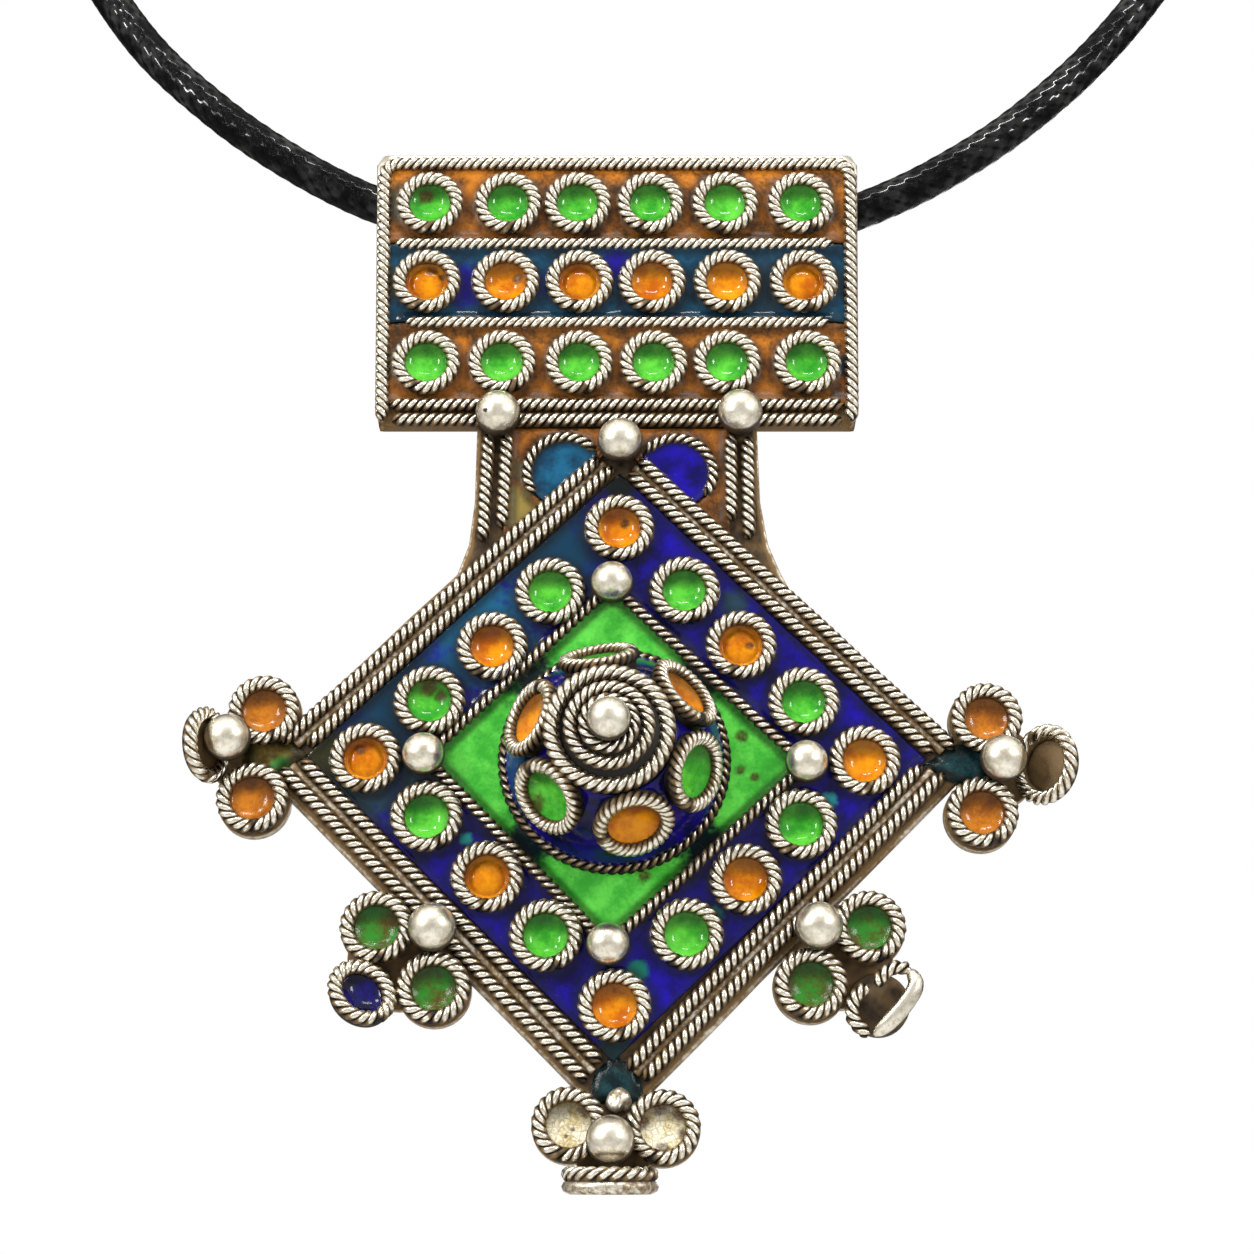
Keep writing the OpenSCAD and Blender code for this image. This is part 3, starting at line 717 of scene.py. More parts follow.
def make_plate():
    """The neck and lozenge: rings of points between the hole under the boss and the outline, over
    the front, round a softened edge and back over the rear face. The lobes are round discs."""
    ray = rays(full_turn(1080))
    edge = reach(ray) + 0.05 * ripple(ray, 14, 3)
    inner = BOSS_R - BOSS_WALL + (BOSS - LOZ) @ ray.T
    front, back = (
        [(inner + 0.1) + (edge - 0.3 - inner) * share for share in shares]
        for shares in (np.linspace(0, 1, 26), np.linspace(1, 0, 18))
    )
    bevel = [(0.10, -0.05), (0.02, -0.16), (0.0, -0.32), (0.0, -0.9), (0.06, -1.12)]
    radii = np.stack(front + [edge - inset for inset, _ in bevel] + back, 1)
    heights = np.concatenate([np.zeros(len(front)), [z for _, z in bevel], np.full(len(back), -PLATE_T)])
    flat = LOZ + ray[:, None] * radii[..., None]
    z = np.broadcast_to(heights, radii.shape).copy()
    z += 0.035 * ripple(flat, 0.5, 5) * (heights > -0.01)
    z += 0.05 * ripple(flat, 0.3, 6) * (heights < -1.15)
    z -= 0.05 * smooth_rise(flat[..., 1], -13.5, -11.8) * np.sign(z + PLATE_T / 2)
    face = smooth_rise(heights, -0.1, 0.0)[None, :] * smooth_rise(edge[:, None] - radii, 0.35, 0.85)
    pile = Pile("soil")
    pile.add(raised(flat, z), True, {"soil": 0.62 + 0.7 * face})
    rounds = [(x, y, LOBE_R) for _, x, y in FLAT_CUPS] + LOBES
    for k, (x, y, r) in enumerate(rounds):
        top = -0.02 - 0.004 * k
        rim = [(r - 0.12, top), (r, top - 0.12), (r, 0.15 - PLATE_T), (r - 0.12, 0.02 - PLATE_T)]
        disc = lathe([(0.05, top)] + rim + [(0.05, 0.02 - PLATE_T)], 48) + np.array([x, y, 0])
        pile.add(disc, False, {"soil": np.where(disc[..., 2] > -0.11, 1.2, 0.6)})
    return pile


def bail_profile(steps):
    """Height and depth round the bail's section: down the front plate, back under its lower lip,
    round the lower bend of the rolled sheet, up the back, round the upper bend. Given for the
    outside, and for the inside a wall further in."""
    top, foot = BAIL_MID + BAIL_H / 2, BAIL_MID - BAIL_H / 2
    roll = foot + ROLL_RISE
    low_mid, up_mid = roll + BAIL_BEND, top - BAIL_BEND
    depth = BAIL_BEND - BAIL_DEPTH

    def loop(wall, face, end, lip):
        bend = BAIL_BEND - wall
        front = np.linspace(top - wall - 0.12, end + 0.12, 3 * steps)
        back = np.linspace(low_mid + 0.3, up_mid - 0.3, 2 * steps)
        return np.concatenate([
            np.stack([front, np.full(3 * steps, face)], -1),
            np.array(lip) + (0, face),
            (low_mid, depth) + bend * rays(np.radians(np.linspace(-180, -90, steps))),
            np.stack([back, np.full(2 * steps, depth - bend)], -1),
            (up_mid, depth) + bend * rays(np.radians(np.linspace(-90, 0, steps))),
            [(top - wall, face - 0.15), (top - wall - 0.02, face - 0.03)],
        ])

    outer_lip = [
        (foot + 0.04, -0.03), (foot, -0.15), (foot, 0.15 - PLATE_T), (foot + 0.1, -PLATE_T),
        (roll - 0.05, -PLATE_T), (roll, -PLATE_T - 0.1),
    ]
    end = roll + BAIL_WALL
    inner_lip = [(end + 0.02, -0.03)] + [(end, -0.1 - 0.05 * k) for k in range(5)]
    return loop(0.0, 0.0, foot, outer_lip), loop(BAIL_WALL, -PLATE_T, end, inner_lip)


def make_bail():
    """The rolled bail: its section carried across, outside one way and inside the other, joined round
    the two mouths by a softened rim. The front plate's corners are rounded off in plan."""
    outside, inside = bail_profile(12)
    across = np.linspace(-1, 1, 44)
    corner = 0.9
    up = outside[:, 0] - BAIL_MID
    from_end = BAIL_H / 2 - np.abs(up)
    cut = corner - np.sqrt(np.maximum(corner**2 - np.clip(corner - from_end, 0, corner) ** 2, 0))
    cut *= smooth_rise(outside[:, 1], -2.0, -0.3)
    half = BAIL_W / 2 - cut + BAIL_SPREAD * up / (BAIL_H / 2)
    # Sections through the wall at a mouth: the share of the way in, and how far back from the mouth
    shares = [(0.12, 0.02), (0.5, 0.0), (0.88, 0.02)]
    mouth = [(outside + (inside - outside) * share, back) for share, back in shares]
    loops = [(x * (half - 0.12), outside) for x in across]
    loops += [(half - back, section) for section, back in mouth]
    loops += [(x * (half - 0.12), inside) for x in across[::-1]]
    loops += [(back - half, section) for section, back in mouth[::-1]]
    grid = np.stack([np.concatenate([x[:, None], section], -1) for x, section in loops])
    grid[..., 2] += 0.07 * ripple(grid[..., :2], 0.28, 8) * smooth_rise(-grid[..., 2], 2.0, 6.0)
    inset = np.minimum(BAIL_W / 2 - np.abs(grid[..., 0]), BAIL_H / 2 - np.abs(grid[..., 1] - BAIL_MID))
    soil = 0.3 + 0.5 * smooth_rise(grid[..., 2], -0.2, 0.0) * smooth_rise(inset, 0.35, 0.6)
    soil += 0.6 * smooth_rise(BAIL_MID - BAIL_H / 2 + 0.8 - grid[..., 1], 0.0, 0.5) * (grid[..., 2] > -1.5)
    pile = Pile("soil")
    pile.add(grid, True, {"soil": soil})
    return pile


def boss_profile(wall):
    """Distance out and height up the boss, from its foot to its top: a steep flank on a wide arc that
    ends in a round top on a small one, drawn a wall's thickness inside its skin."""
    flank_r, top_r, join, slope = 24.0, 5.6, BOSS_H - 1.7, math.radians(17)
    middle = (BOSS_R - flank_r * math.cos(slope), -flank_r * math.sin(slope))
    z = np.linspace(-PLATE_T + 0.05 if wall else 0.0, join - wall, 24)
    flank = np.stack([middle[0] + np.sqrt((flank_r - wall) ** 2 - (z - middle[1]) ** 2), z], -1)
    start = math.atan2(join - wall - (BOSS_H - top_r), 4.1)
    top = (0, BOSS_H - top_r) + (top_r - wall) * rays(np.linspace(start, math.pi / 2 - 0.01, 12))
    return np.concatenate([flank, top])


def segment_distance(places, wire):
    """Distance from each place to the straight line between a wire's ends."""
    a, b = np.array(wire[:2]), np.array(wire[2:])
    share = np.clip((places - a) @ (b - a) / ((b - a) @ (b - a)), 0, 1)
    return np.linalg.norm(places - a - share[..., None] * (b - a), axis=-1)


# Farther than any silver edge counts
FAR = 9.0


def edge_distance(places, rings=(), wires=()):
    """How far each place is from the nearest silver edge: the distance from a ring's or ball's middle
    less its radius, or from a wire's line less half its thickness."""
    best = np.full(places.shape[:-1], FAR)
    for x, y, r in rings:
        best = np.minimum(best, np.hypot(places[..., 0] - x, places[..., 1] - y) - r)
    for wire in wires:
        best = np.minimum(best, segment_distance(places, wire) - WIRE_D / 2)
    return best


def round_edges(places, radius):
    """The silver round some places as edges for a slab: across, up and radius of each."""
    return [(place[0], place[1], radius) for place in places]


def slab(pile, flat, rings=(), wires=(), level=0.28, rise=0.28, seed=1, wrap_rows=False, reach_in=0.6):
    """A sheet of enamel over a grid of places (rows, columns, 2): its top lies at a level, creeps up
    where it wets the silver, by a rise that fades over less than half a millimetre, is a little wavy, and
    lies low inside the rings. Each row goes over the top and back along the flat underside. Its rim,
    darkened as painted shade along the silver, reaches in from the silver by reach_in."""
    near = edge_distance(flat, rings, wires)
    creep = np.exp(-np.maximum(near, 0) / 0.4)
    z = level + rise * creep + 0.07 * ripple(flat, 1.1, seed) + 0.04 * ripple(flat, 3.4, seed + 7)
    z -= (z - ENAMEL_FOOT - 0.02) * smooth_rise(-edge_distance(flat, rings), 0.25, 0.4)
    grid = np.concatenate([raised(flat, z), raised(flat, ENAMEL_FOOT)[:, ::-1]], 1)
    rim = smooth_rise(0.3 - near, -reach_in, 0.05)
    pile.add(grid, wrap_rows, {"rim": np.concatenate([rim, np.ones_like(rim)], 1)})


def add_drop(
    pile, move, radius=RING_R - 0.49, edge=0.95, floor=0.38, low=ENAMEL_FOOT, seed=1, bead=False, top=90
):
    """Enamel in a cup: a bowl whose height climbs from the floor to the edge with the 2.4th power of
    the distance out, or a bead whose middle stands up as a dome inside a sunken rim. Its rim, darkened
    as painted shade, counts as wider towards the direction top, where the ring's painted shadow falls
    on the drop; a bead also gets a painted dark line of shade round its sunken rim."""
    angle = full_turn(36)
    spread = np.linspace(0.03, 1, 15)[:, None] * np.ones(36)
    shade = smooth_rise(spread + 0.5 * np.cos(angle - math.radians(top)), 0.5, 1.25)
    if bead:
        core = np.clip(1 - (spread / 0.76) ** 2, 0, 1)
        z = edge - 0.42 + 0.3 * core**0.7 + 0.26 * smooth_rise(spread, 0.84, 1.0)
        shade = np.maximum(shade * 0.8, 0.5 * np.exp(-(((spread - 0.8) / 0.07) ** 2)))
    else:
        z = floor + (edge - floor) * spread**2.4
    flat = radius * spread[..., None] * rays(angle)
    grid = np.concatenate([raised(flat, z + 0.03 * ripple(flat, 2.2, seed)), raised(flat[-1:], low)])
    pile.add(move(grid), False, {"rim": np.concatenate([shade, np.ones((1, 36))])})


def flat_move(x, y):
    """Puts points at a place of the drawing."""
    return lambda points: points + np.array([x, y, 0.0])


def boss_move(ring):
    """Puts points on the flank of the boss, in the ring's direction."""
    direction, _, tilt, out, height = ring
    return lambda points: turned(turned(points, (out, 0, height), 0, tilt), (*BOSS, 0), direction)


def bent_move(cup):
    """Puts points in a bent cup: squeezed to its width, tipped and turned to its direction."""
    *place, direction, tilt, size, _, width = cup
    squeeze = (1 / width, width, 1.0) if width > 1 else (width, 1.0, 1.0)
    return lambda points: turned(points * squeeze, place, direction, tilt, size)


# The cord

def curve_through(points, steps, run_on=1):
    """A smooth line through a few points, steps to each stretch, by the Catmull-Rom formula: each
    stretch is a cubic of its own two points and the two next to them. Beyond an end stands a point
    as far off as its neighbour, or with run_on 0 the end itself."""
    p = np.array(points, float)
    p = np.concatenate([p[:1] + run_on * (p[:1] - p[1:2]), p, p[-1:] + run_on * (p[-1:] - p[-2:-1])])
    a, b, c, d = (q[:, None] for q in (p[:-3], p[1:-2], p[2:-1], p[3:]))
    t = (np.arange(steps) / steps)[None, :, None]
    squares, cubes = 2 * a - 5 * b + 4 * c - d, 3 * b - a - 3 * c + d
    line = 0.5 * (2 * b + (c - a) * t + squares * t**2 + cubes * t**3)
    return np.concatenate([line.reshape(-1, p.shape[1]), p[-2:-1]])


def even_steps(line, gap):
    """The same line with its points a fixed gap apart, and its length."""
    length = np.concatenate([[0], np.cumsum(np.linalg.norm(np.diff(line, axis=0), axis=1))])
    at = np.linspace(0, length[-1], int(length[-1] / gap))
    return np.stack([np.interp(at, length, line[:, k]) for k in range(line.shape[1])], -1), length[-1]


def braid_height(around, along):
    """Height of a round braid's skin from 0 to 1, and the count of strands up to the place. Two
    families of strands wind opposite ways; each is round across its width, and dips under the other
    at every second crossing."""
    a = CARRIERS * (around / TAU + along / BRAID_LAY)
    b = CARRIERS * (around / TAU - along / BRAID_LAY)

    def strand(own, other, sign):
        across = 2 * (own % 1) - 1
        over = 0.5 + sign * 0.5 * np.cos(math.pi * (other - 0.5 + np.floor(own)))
        return np.sqrt(np.clip(1 - 0.8 * across**2, 0, 1)) * (0.3 + 0.7 * over)

    high_a, high_b = strand(a, b, 1), strand(b, a, -1)
    return np.maximum(high_a, high_b), np.where(high_a > high_b, a, b)


def make_cord():
    """The cord: a round skin carried along its route, whose radius grows with the braid's height."""
    line, length = even_steps(curve_through(ROUTE, 12, run_on=0), 0.19)
    path = np.stack([line[:, 0], np.zeros(len(line)), line[:, 1]], -1)
    side, lift = directions(path, (0.0, 1.0, 0.0))
    height, weave = braid_height(full_turn(40), np.linspace(0, length, len(path))[:, None])
    radius = CORD_D / 2 - 0.09 + 0.12 * height
    pile = Pile("high", "weave")
    pile.add(tube(path, side, lift, radius, radius, steps=40), False, {"high": height, "weave": weave})
    cord = pile.make("braided_cord", braid_black(), "cord_loop", "black_braid", ["cord"], lambda p: p * MM)
    return cord, path[::8] * MM, length * MM


def make_clasp():
    """The barrel clasp: a lathed profile with softened ends, a seam and two turned grooves."""
    half, thin, full, collar = CLASP_LEN / 2, 2.3, 3.0, 8.0
    right = [
        (full, 0.35), (full, 3.1), (full - 0.18, 3.3), (full, 3.5), (full, 6.4), (full - 0.18, 6.6),
        (full, 6.8), (full, collar - 0.3), (full - 0.1, collar - 0.08), (full - 0.3, collar),
        (thin + 0.05, collar + 0.05), (thin, collar + 0.3), (thin, half - 0.4),
        (thin - 0.12, half - 0.12), (thin - 0.4, half), (0.05, half),
    ]
    left = [(r, -x) for r, x in right[::-1]]
    seam = [(full - 0.06, -0.15), (full - 0.22, 0.0), (full - 0.06, 0.15)]
    grid = lathe(left + seam + right, 64)
    level = np.stack([grid[..., 2], grid[..., 0], grid[..., 1] + full], -1)
    pile = Pile("soil")
    soil = 0.25 + 0.35 * smooth_rise(full - np.hypot(grid[..., 0], grid[..., 1]), 0.05, 0.4)
    pile.add(level, False, {"soil": soil})
    metal = silver("clasp_silver", tarnish=0.35)
    return pile.make("barrel_clasp", metal, "cord_loop", "clasp_silver", ["clasp"], lambda p: p * MM)


cord, cord_path, cord_length = make_cord()
clasp = make_clasp()

# The silver

bright = silver("rope_silver", tarnish=0.42, shine=0.22, crust=((118, 94, 60), (22, 17, 11)), mottle=1.1)
plain = silver("sheet_silver", tarnish=0.5, shine=0.3, crust=((120, 92, 52), (34, 25, 14)))
polished = silver("ball_silver", tarnish=0.34, shine=0.3, crust=((84, 68, 46), (34, 26, 16)))


def make_silver(name, pile, material=bright):
    pile.make(name, material, "pendant", "tarnished_silver", ["silver_frame"])


make_silver("back_plate", make_plate(), plain)
make_silver("bail_sheet", make_bail(), plain)


def add_seam(pile, first, second):
    """A seam of solder between two rope wires: a low rounded bead along the middle line between them,
    whose height swells and sinks by a ripple."""
    path, _ = straight([(a + b) / 2 for a, b in zip(first, second)], 0.12)
    side, lift = directions(path, OUTWARDS)
    swell = 1 + 0.35 * ripple(path[:, :2], 2.2, 9)[:, None]
    grid = tube(path, side, lift, 0.38, 0.3 * swell, steps=10)
    pile.add(grid, False, {"soil": 0.75 + 0.8 * smooth_rise(0.4 - grid[..., 2], 0.0, 0.3)})


def wires_piece(name, wires, thick=ROPE_D, soil=0.0, worn_and_lit=RUBBED_AND_LIT, pairs=(), bent=()):
    """A piece of straight rope wires, seams between pairs of them, and wires bent along a line."""
    pile = Pile("soil")
    for wire in wires:
        path, turns = straight(wire, WIRE_Z)
        add_rope(pile, path, thick, turns, start=rng.random(), soil=soil, worn_and_lit=worn_and_lit)
    for first, second in pairs:
        add_seam(pile, wires[first], wires[second])
    for line in bent:
        path, long = even_steps(np.array(line), TURN / STEPS)
        add_rope(pile, path, thick, long / TURN, start=rng.random(), soil=soil, worn_and_lit=worn_and_lit)
    make_silver(name, pile)


def border_line():
    """The border wire of the bail: up the left side, round the corners by quarter circles, across the
    top and down the right side."""
    corner = 1.1
    middle = (corner - BAIL_SIDE, ROW_LINES[0] - corner)
    left = middle + corner * rays(np.radians(np.linspace(180, 90, 9)))
    foot = (BAIL_SIDE_LOW, BORDER_FOOT)
    return raised(np.concatenate([[(-foot[0], foot[1])], left, left[::-1] * (-1, 1), [foot]]), WIRE_Z)


wires_piece("bail_wires", BAIL_WIRES[:2], worn_and_lit=BAIL_WORN_AND_LIT, bent=[border_line()])
wires_piece("bail_foot_wires", BAIL_WIRES[2:], soil=0.1)
wires_piece("neck_wires", NECK_WIRES, soil=0.04)
wires_piece("lozenge_wires", LOZENGE_WIRES, soil=0.1, pairs=[(0, 1), (2, 3), (4, 5), (6, 7)])
SQUARE_WIRES = [SMALL_BALLS[i] + SMALL_BALLS[(i + 1) % 4] for i in range(4)]
wires_piece("square_wires", SQUARE_WIRES, thick=1.06, soil=0.36)

moon_wires = Pile("soil")
for mx, my, first, last in MOONS.values():
    steps = int((last - first) / 360 * TAU * MOON_R / TURN * STEPS)
    arc = circle(MOON_R, WIRE_Z, steps, first, last, closed=False) + np.array([mx, my, 0])
    add_rope(moon_wires, arc, MOON_WIRE_D, steps / STEPS, start=rng.random(), soil=0.2)
make_silver("moon_wires", moon_wires)


def rings_piece(name, moves, **form):
    """A piece of bezels, one to each move."""
    rings = Pile("soil")
    for move in moves:
        add_bezel(rings, move, **form)
    make_silver(name, rings)


for row, (y, places) in BAIL_ROWS.items():
    rings_piece(f"bail_rings_{row}", [flat_move(x, y) for x in places], soil=-0.05)
rings_piece("band_rings", [flat_move(x, y) for x, y, _ in BAND_PLACES], soil=0.02)
rings_piece("cluster_rings", [flat_move(x, y) for _, x, y in FLAT_CUPS], soil=0.08)

# The sheet under a bent cup, and under the bottom one, which is folded flat and bulges below its rope
CUP_SHEET = [(2.35, 0.0), (2.42, -0.08), (2.42, -0.2), (2.33, -0.28)]
FOLDED_SHEET = [(2.2, 0.22), (2.48, 0.1), (2.6, -0.16), (2.5, -0.44), (2.15, -0.62)]
# The lower right cup is torn open: its middle, its sheet, a bent flap of it and two ends of its rope
TORN_MIDDLE = (19.3, -57.4)
TORN_SHEET = [(2.2, 0.3), (2.3, 0.2), (2.3, -0.9), (2.2, -1.0)]
TORN_FLAP = [
    (21.5, -55.0, 1.5), (21.9, -56.2, 1.9), (21.1, -57.6, 2.0), (19.9, -58.9, 1.8), (18.8, -59.8, 1.2),
]
TORN_ENDS = [
    [(21.5, -55.0, 1.3), (20.5, -54.9, 1.7), (19.6, -55.4, 1.8), (19.0, -56.2, 1.7)],
    [(18.4, -56.2, 1.2), (17.4, -57.2, 1.3), (17.3, -58.6, 1.2), (18.4, -59.8, 1.0)],
]


def add_sheet(pile, move, profile, soil):
    """The sheet under a cup: a closed lathed profile."""
    closed = [(0.05, profile[0][1])] + profile + [(0.05, profile[-1][1])]
    pile.add(move(lathe(closed, 40)), False, {"soil": soil})


def add_flap(pile, points, wide, thick, lean, soil):
    """A smooth bent strip of sheet: a flat ellipse carried along a curve, narrower at both ends."""
    path = curve_through(points, 12)
    side, lift = directions(path, lean)
    share = np.linspace(-1, 1, len(path))
    taper = np.sqrt(np.maximum(1 - np.abs(share) ** 4, 0.05)) * (1 + 0.12 * ripple(path, 1.5, 4))
    grid = tube(path, side, lift, wide * taper[:, None], thick * taper[:, None], steps=16)
    pile.add(grid, False, {"soil": soil + 0.5 * smooth_rise(1.2 - grid[..., 2], 0.0, 0.8)})


bent_cups = Pile("soil")
for group, cup in BENT_CUPS.items():
    sheet, soil = (FOLDED_SHEET, 0.62) if group == "bottom" else (CUP_SHEET, 1.0)
    add_sheet(bent_cups, bent_move(cup), sheet, soil)
    worn_and_lit = RING_WORN_AND_LIT if group == "lower_left" else BENT_WORN_AND_LIT
    z = cup[6]
    add_bezel(bent_cups, bent_move(cup), z=z, foot=min(0.0, z - 0.4), soil=0.05, worn_and_lit=worn_and_lit)
add_sheet(bent_cups, flat_move(*TORN_MIDDLE), TORN_SHEET, 1.25)
add_flap(bent_cups, TORN_FLAP, wide=0.66, thick=0.52, lean=(0.35, -0.3, 1.0), soil=0.42)
for torn in TORN_ENDS:
    path = curve_through(torn, 14)
    long = np.linalg.norm(np.diff(path, axis=0), axis=1).sum()
    add_rope(bent_cups, path, 1.05, long / TURN, start=0.2, soil=0.1, worn_and_lit=RING_WORN_AND_LIT)
# A grainy lump of silver at the bottom tip
LUMP_MIDDLE = (0.25, -64.4, 0.5)
lump = ball_grid((0, 0, 0), 1.9, 71)
lump *= (1 + 0.4 * ripple(lump, 5.0, 72))[..., None]
bent_cups.add(lump * (0.9, 1.0, 0.6) + LUMP_MIDDLE, False, {"soil": 0.68})
make_silver("bent_cups", bent_cups)

boss = Pile("soil")
skin = lathe(np.concatenate([boss_profile(0)[::-1], boss_profile(BOSS_WALL)]), 96) + (*BOSS, 0)
boss.add(skin, False, {"soil": 0.5 + 1.3 * smooth_rise(skin[..., 2], 6.6, 7.4)})
radius, z, thick, turns = BOSS_FOOT
add_rope(boss, circle(radius, z, turns * STEPS) + (*BOSS, 0), thick, turns, True, soil=0.55)
for radius, z, thick in BOSS_COILS:
    turns = round(TAU * radius / TURN)
    coil = circle(radius, z, turns * STEPS) + (*COIL_MIDDLE, 0)
    add_rope(boss, coil, thick, turns, True, worn_and_lit=RING_WORN_AND_LIT)
make_silver("boss_silver", boss)
boss_form = {"radius": BOSS_RING_R, "thick": BOSS_RING_D, "z": 0.6, "foot": -0.6, "turns": 10, "soil": 0.2}
rings_piece("boss_rings", [boss_move(ring) for ring in BOSS_RINGS], **boss_form)

# A black pit on the left ball of the bail, from its middle
PIT = (-0.88, -0.35, 1.48)
balls = Pile("soil")
for i, place in enumerate(LARGE_BALLS):
    add_ball(balls, place, BALL_D, 20 + i, PIT if i == 0 else None)
for i, place in enumerate(SMALL_BALLS):
    add_ball(balls, (*place, SMALL_BALL_Z), SMALL_BALL_D, 40 + i)
add_ball(balls, (*COIL_MIDDLE, BOSS_BALL_Z), BOSS_BALL_D, 50)
make_silver("silver_balls", balls, polished)

# The enamel

GREEN, GREEN_DEEP = tone(98, 208, 62), tone(42, 148, 34)
ORANGE, ORANGE_DEEP = tone(238, 152, 6), tone(184, 92, 2)
COBALT, COBALT_DEEP = tone(26, 10, 156), tone(12, 5, 76)
TEAL, TEAL_DEEP = tone(24, 92, 128), tone(14, 54, 80)
BROWN, BROWN_DEEP = tone(206, 124, 30), tone(80, 50, 20)
BRIGHT_BLUE = tone(30, 14, 156)
SLATE = tone(36, 62, 80)

green_drop = enamel(
    "enamel_green_drop", "enamel_green", GREEN, GREEN_DEEP,
    spots=[(-15.4, 8.0, 0.7), (-14.2, -33.2, 0.8), (-13.4, -33.9, 0.5), (-5.9, -43.3, 0.7)],
)
orange_drop = enamel(
    "enamel_orange_drop", "enamel_orange", ORANGE, ORANGE_DEEP,
    spots=[
        (-14.8, 1.45, 0.5), (-14.0, 0.9, 0.35), (-8.0, 0.75, 0.45), (-19.3, -38.2, 0.5),
        (0.6, -20.0, 0.4), (10.2, -30.0, 0.4),
    ],
)
brown_field = enamel(
    "enamel_brown_field", "enamel_brown", BROWN, BROWN_DEEP, grain=0.2, gloss=0.3,
    patches=[
        (-18.0, 7.6, 1.6, tone(92, 84, 56)), (-18.2, -6.4, 1.3, tone(104, 88, 52)), (18.0, -6.6, 1.0, SLATE),
        (-7.6, -19.0, 2.2, tone(132, 116, 60)), (0.0, -6.6, 0.8, BROWN), (-12.0, 8.6, 1.0, BROWN),
    ],
)
neck_brown = enamel(
    "enamel_neck_brown", "enamel_brown", tone(186, 112, 38), tone(84, 54, 24), grain=0.2, gloss=0.3,
    patches=[(-7.9, -18.6, 1.9, tone(140, 122, 62)), (-7.4, -15.4, 1.0, tone(112, 92, 46))],
)
blue_row = enamel(
    "enamel_blue_row", "enamel_blue", TEAL, TEAL_DEEP, grain=0.05,
    patches=[
        (-11.9, 0.4, 1.8, BRIGHT_BLUE), (0.0, 2.0, 1.6, BRIGHT_BLUE),
        (-6.0, 0.4, 1.2, tone(24, 60, 130)),
        (-18.4, 0.5, 1.6, tone(74, 76, 62)), (12.0, 0.5, 2.6, SLATE), (17.8, 0.5, 1.6, SLATE),
    ],
)
band_blue = enamel(
    "enamel_band", "enamel_blue", COBALT, COBALT_DEEP, grain=0.12,
    patches=[
        (0.2, -16.6, 1.8, tone(14, 22, 30)), (-0.2, -60.9, 1.5, tone(18, 50, 60)),
        (-5.0, -22.5, 4.6, TEAL_DEEP), (-10.5, -28.5, 4.6, TEAL), (-16.5, -34.5, 4.8, TEAL_DEEP),
        (-19.5, -40.5, 4.2, SLATE), (-22.0, -38.6, 2.0, tone(60, 60, 30)), (9.0, -26.5, 1.2, SLATE),
        (-14.5, -40.5, 2.2, SLATE), (1.5, -55.0, 0.9, tone(20, 130, 110)),
        (7.2, -50.8, 0.7, tone(30, 150, 140)), (16.0, -42.0, 0.6, tone(40, 150, 160)),
        (-11.2, -45.0, 0.5, tone(40, 160, 160)),
    ],
)
moon_teal = enamel("enamel_moon_teal", "enamel_teal", TEAL, TEAL_DEEP)
moon_blue = enamel("enamel_moon_blue", "enamel_blue", COBALT, COBALT_DEEP)
corner_green = enamel(
    "enamel_corner", "enamel_green", tone(98, 214, 76), tone(56, 172, 50), grain=0.1,
    spots=[(9.5, -37.0, 0.5), (9.4, -39.7, 0.4), (10.4, -40.2, 0.35), (2.1, -47.8, 0.6)],
    patches=[
        # The four dark patches at the corners' narrow ends are painted shadow.
        (6.4, -32.6, 2.3, tone(14, 36, 34)), (-6.6, -32.6, 2.3, tone(14, 36, 34)),
        (6.4, -45.4, 2.3, tone(14, 30, 34)), (-6.6, -45.4, 2.3, tone(14, 30, 34)),
    ],
)
boss_blue = enamel("enamel_boss", "enamel_blue", tone(26, 14, 130), tone(12, 16, 44), grain=0.05)
tip_olive = enamel(
    "enamel_tip_olive", "enamel_brown", tone(120, 104, 44), tone(76, 58, 28), grain=0.3, gloss=0.3,
    patches=[(-25.3, -39.4, 0.9, tone(70, 150, 60))],
)
tip_teal = enamel("enamel_tip_teal", "enamel_teal", tone(26, 70, 76), tone(12, 30, 36), grain=0.4)
cup_amber = enamel("enamel_cup_amber", "enamel_orange", tone(206, 124, 30), tone(140, 78, 22), grain=0.15)
cup_green = enamel("enamel_cup_green", "enamel_green", tone(46, 136, 42), tone(88, 62, 24), grain=0.3)
cup_pale = enamel(
    "enamel_cup_pale", "enamel_pale", tone(252, 246, 224), tone(204, 182, 108), crackle=0.4, grain=0.5,
    spots=[
        (2.0, -66.0, 0.6), (3.1, -64.9, 0.6), (4.9, -66.9, 0.5), (3.4, -67.9, 0.5), (4.6, -65.4, 0.5),
        (-2.3, -65.1, 0.55), (-3.1, -66.5, 0.2), (-3.6, -67.0, 0.15),
    ],
)
cup_blue = enamel("enamel_cup_blue", "enamel_blue", tone(30, 24, 130), tone(10, 10, 14), grain=0.1)


def make_enamel(name, pile, look, node):
    material, slot = look
    pile.make(name, material, "pendant", slot, [node])


def field_piece(name, look, node, flats, **form):
    """A piece of enamel sheets, one over each grid of places."""
    pile = Pile("rim")
    for flat in flats:
        slab(pile, flat, **form)
    make_enamel(name, pile, look, node)


def drops_piece(name, look, node, moves, seed, beads=(), **form):
    """A piece of enamel drops, one to each move: beads at the numbers in beads, bowls at the others."""
    pile = Pile("rim")
    for i, move in enumerate(moves):
        add_drop(pile, move, seed=seed + i, bead=i in beads, **form)
    make_enamel(name, pile, look, node)


def field_grid(x0, x1, y0, y1, gap=0.22):
    """A grid of places over a rectangle, a gap apart."""
    xs = np.linspace(x0, x1, int((x1 - x0) / gap))
    ys = np.linspace(y0, y1, max(8, int((y1 - y0) / gap)))
    return np.stack(np.meshgrid(xs, ys, indexing="ij"), -1)


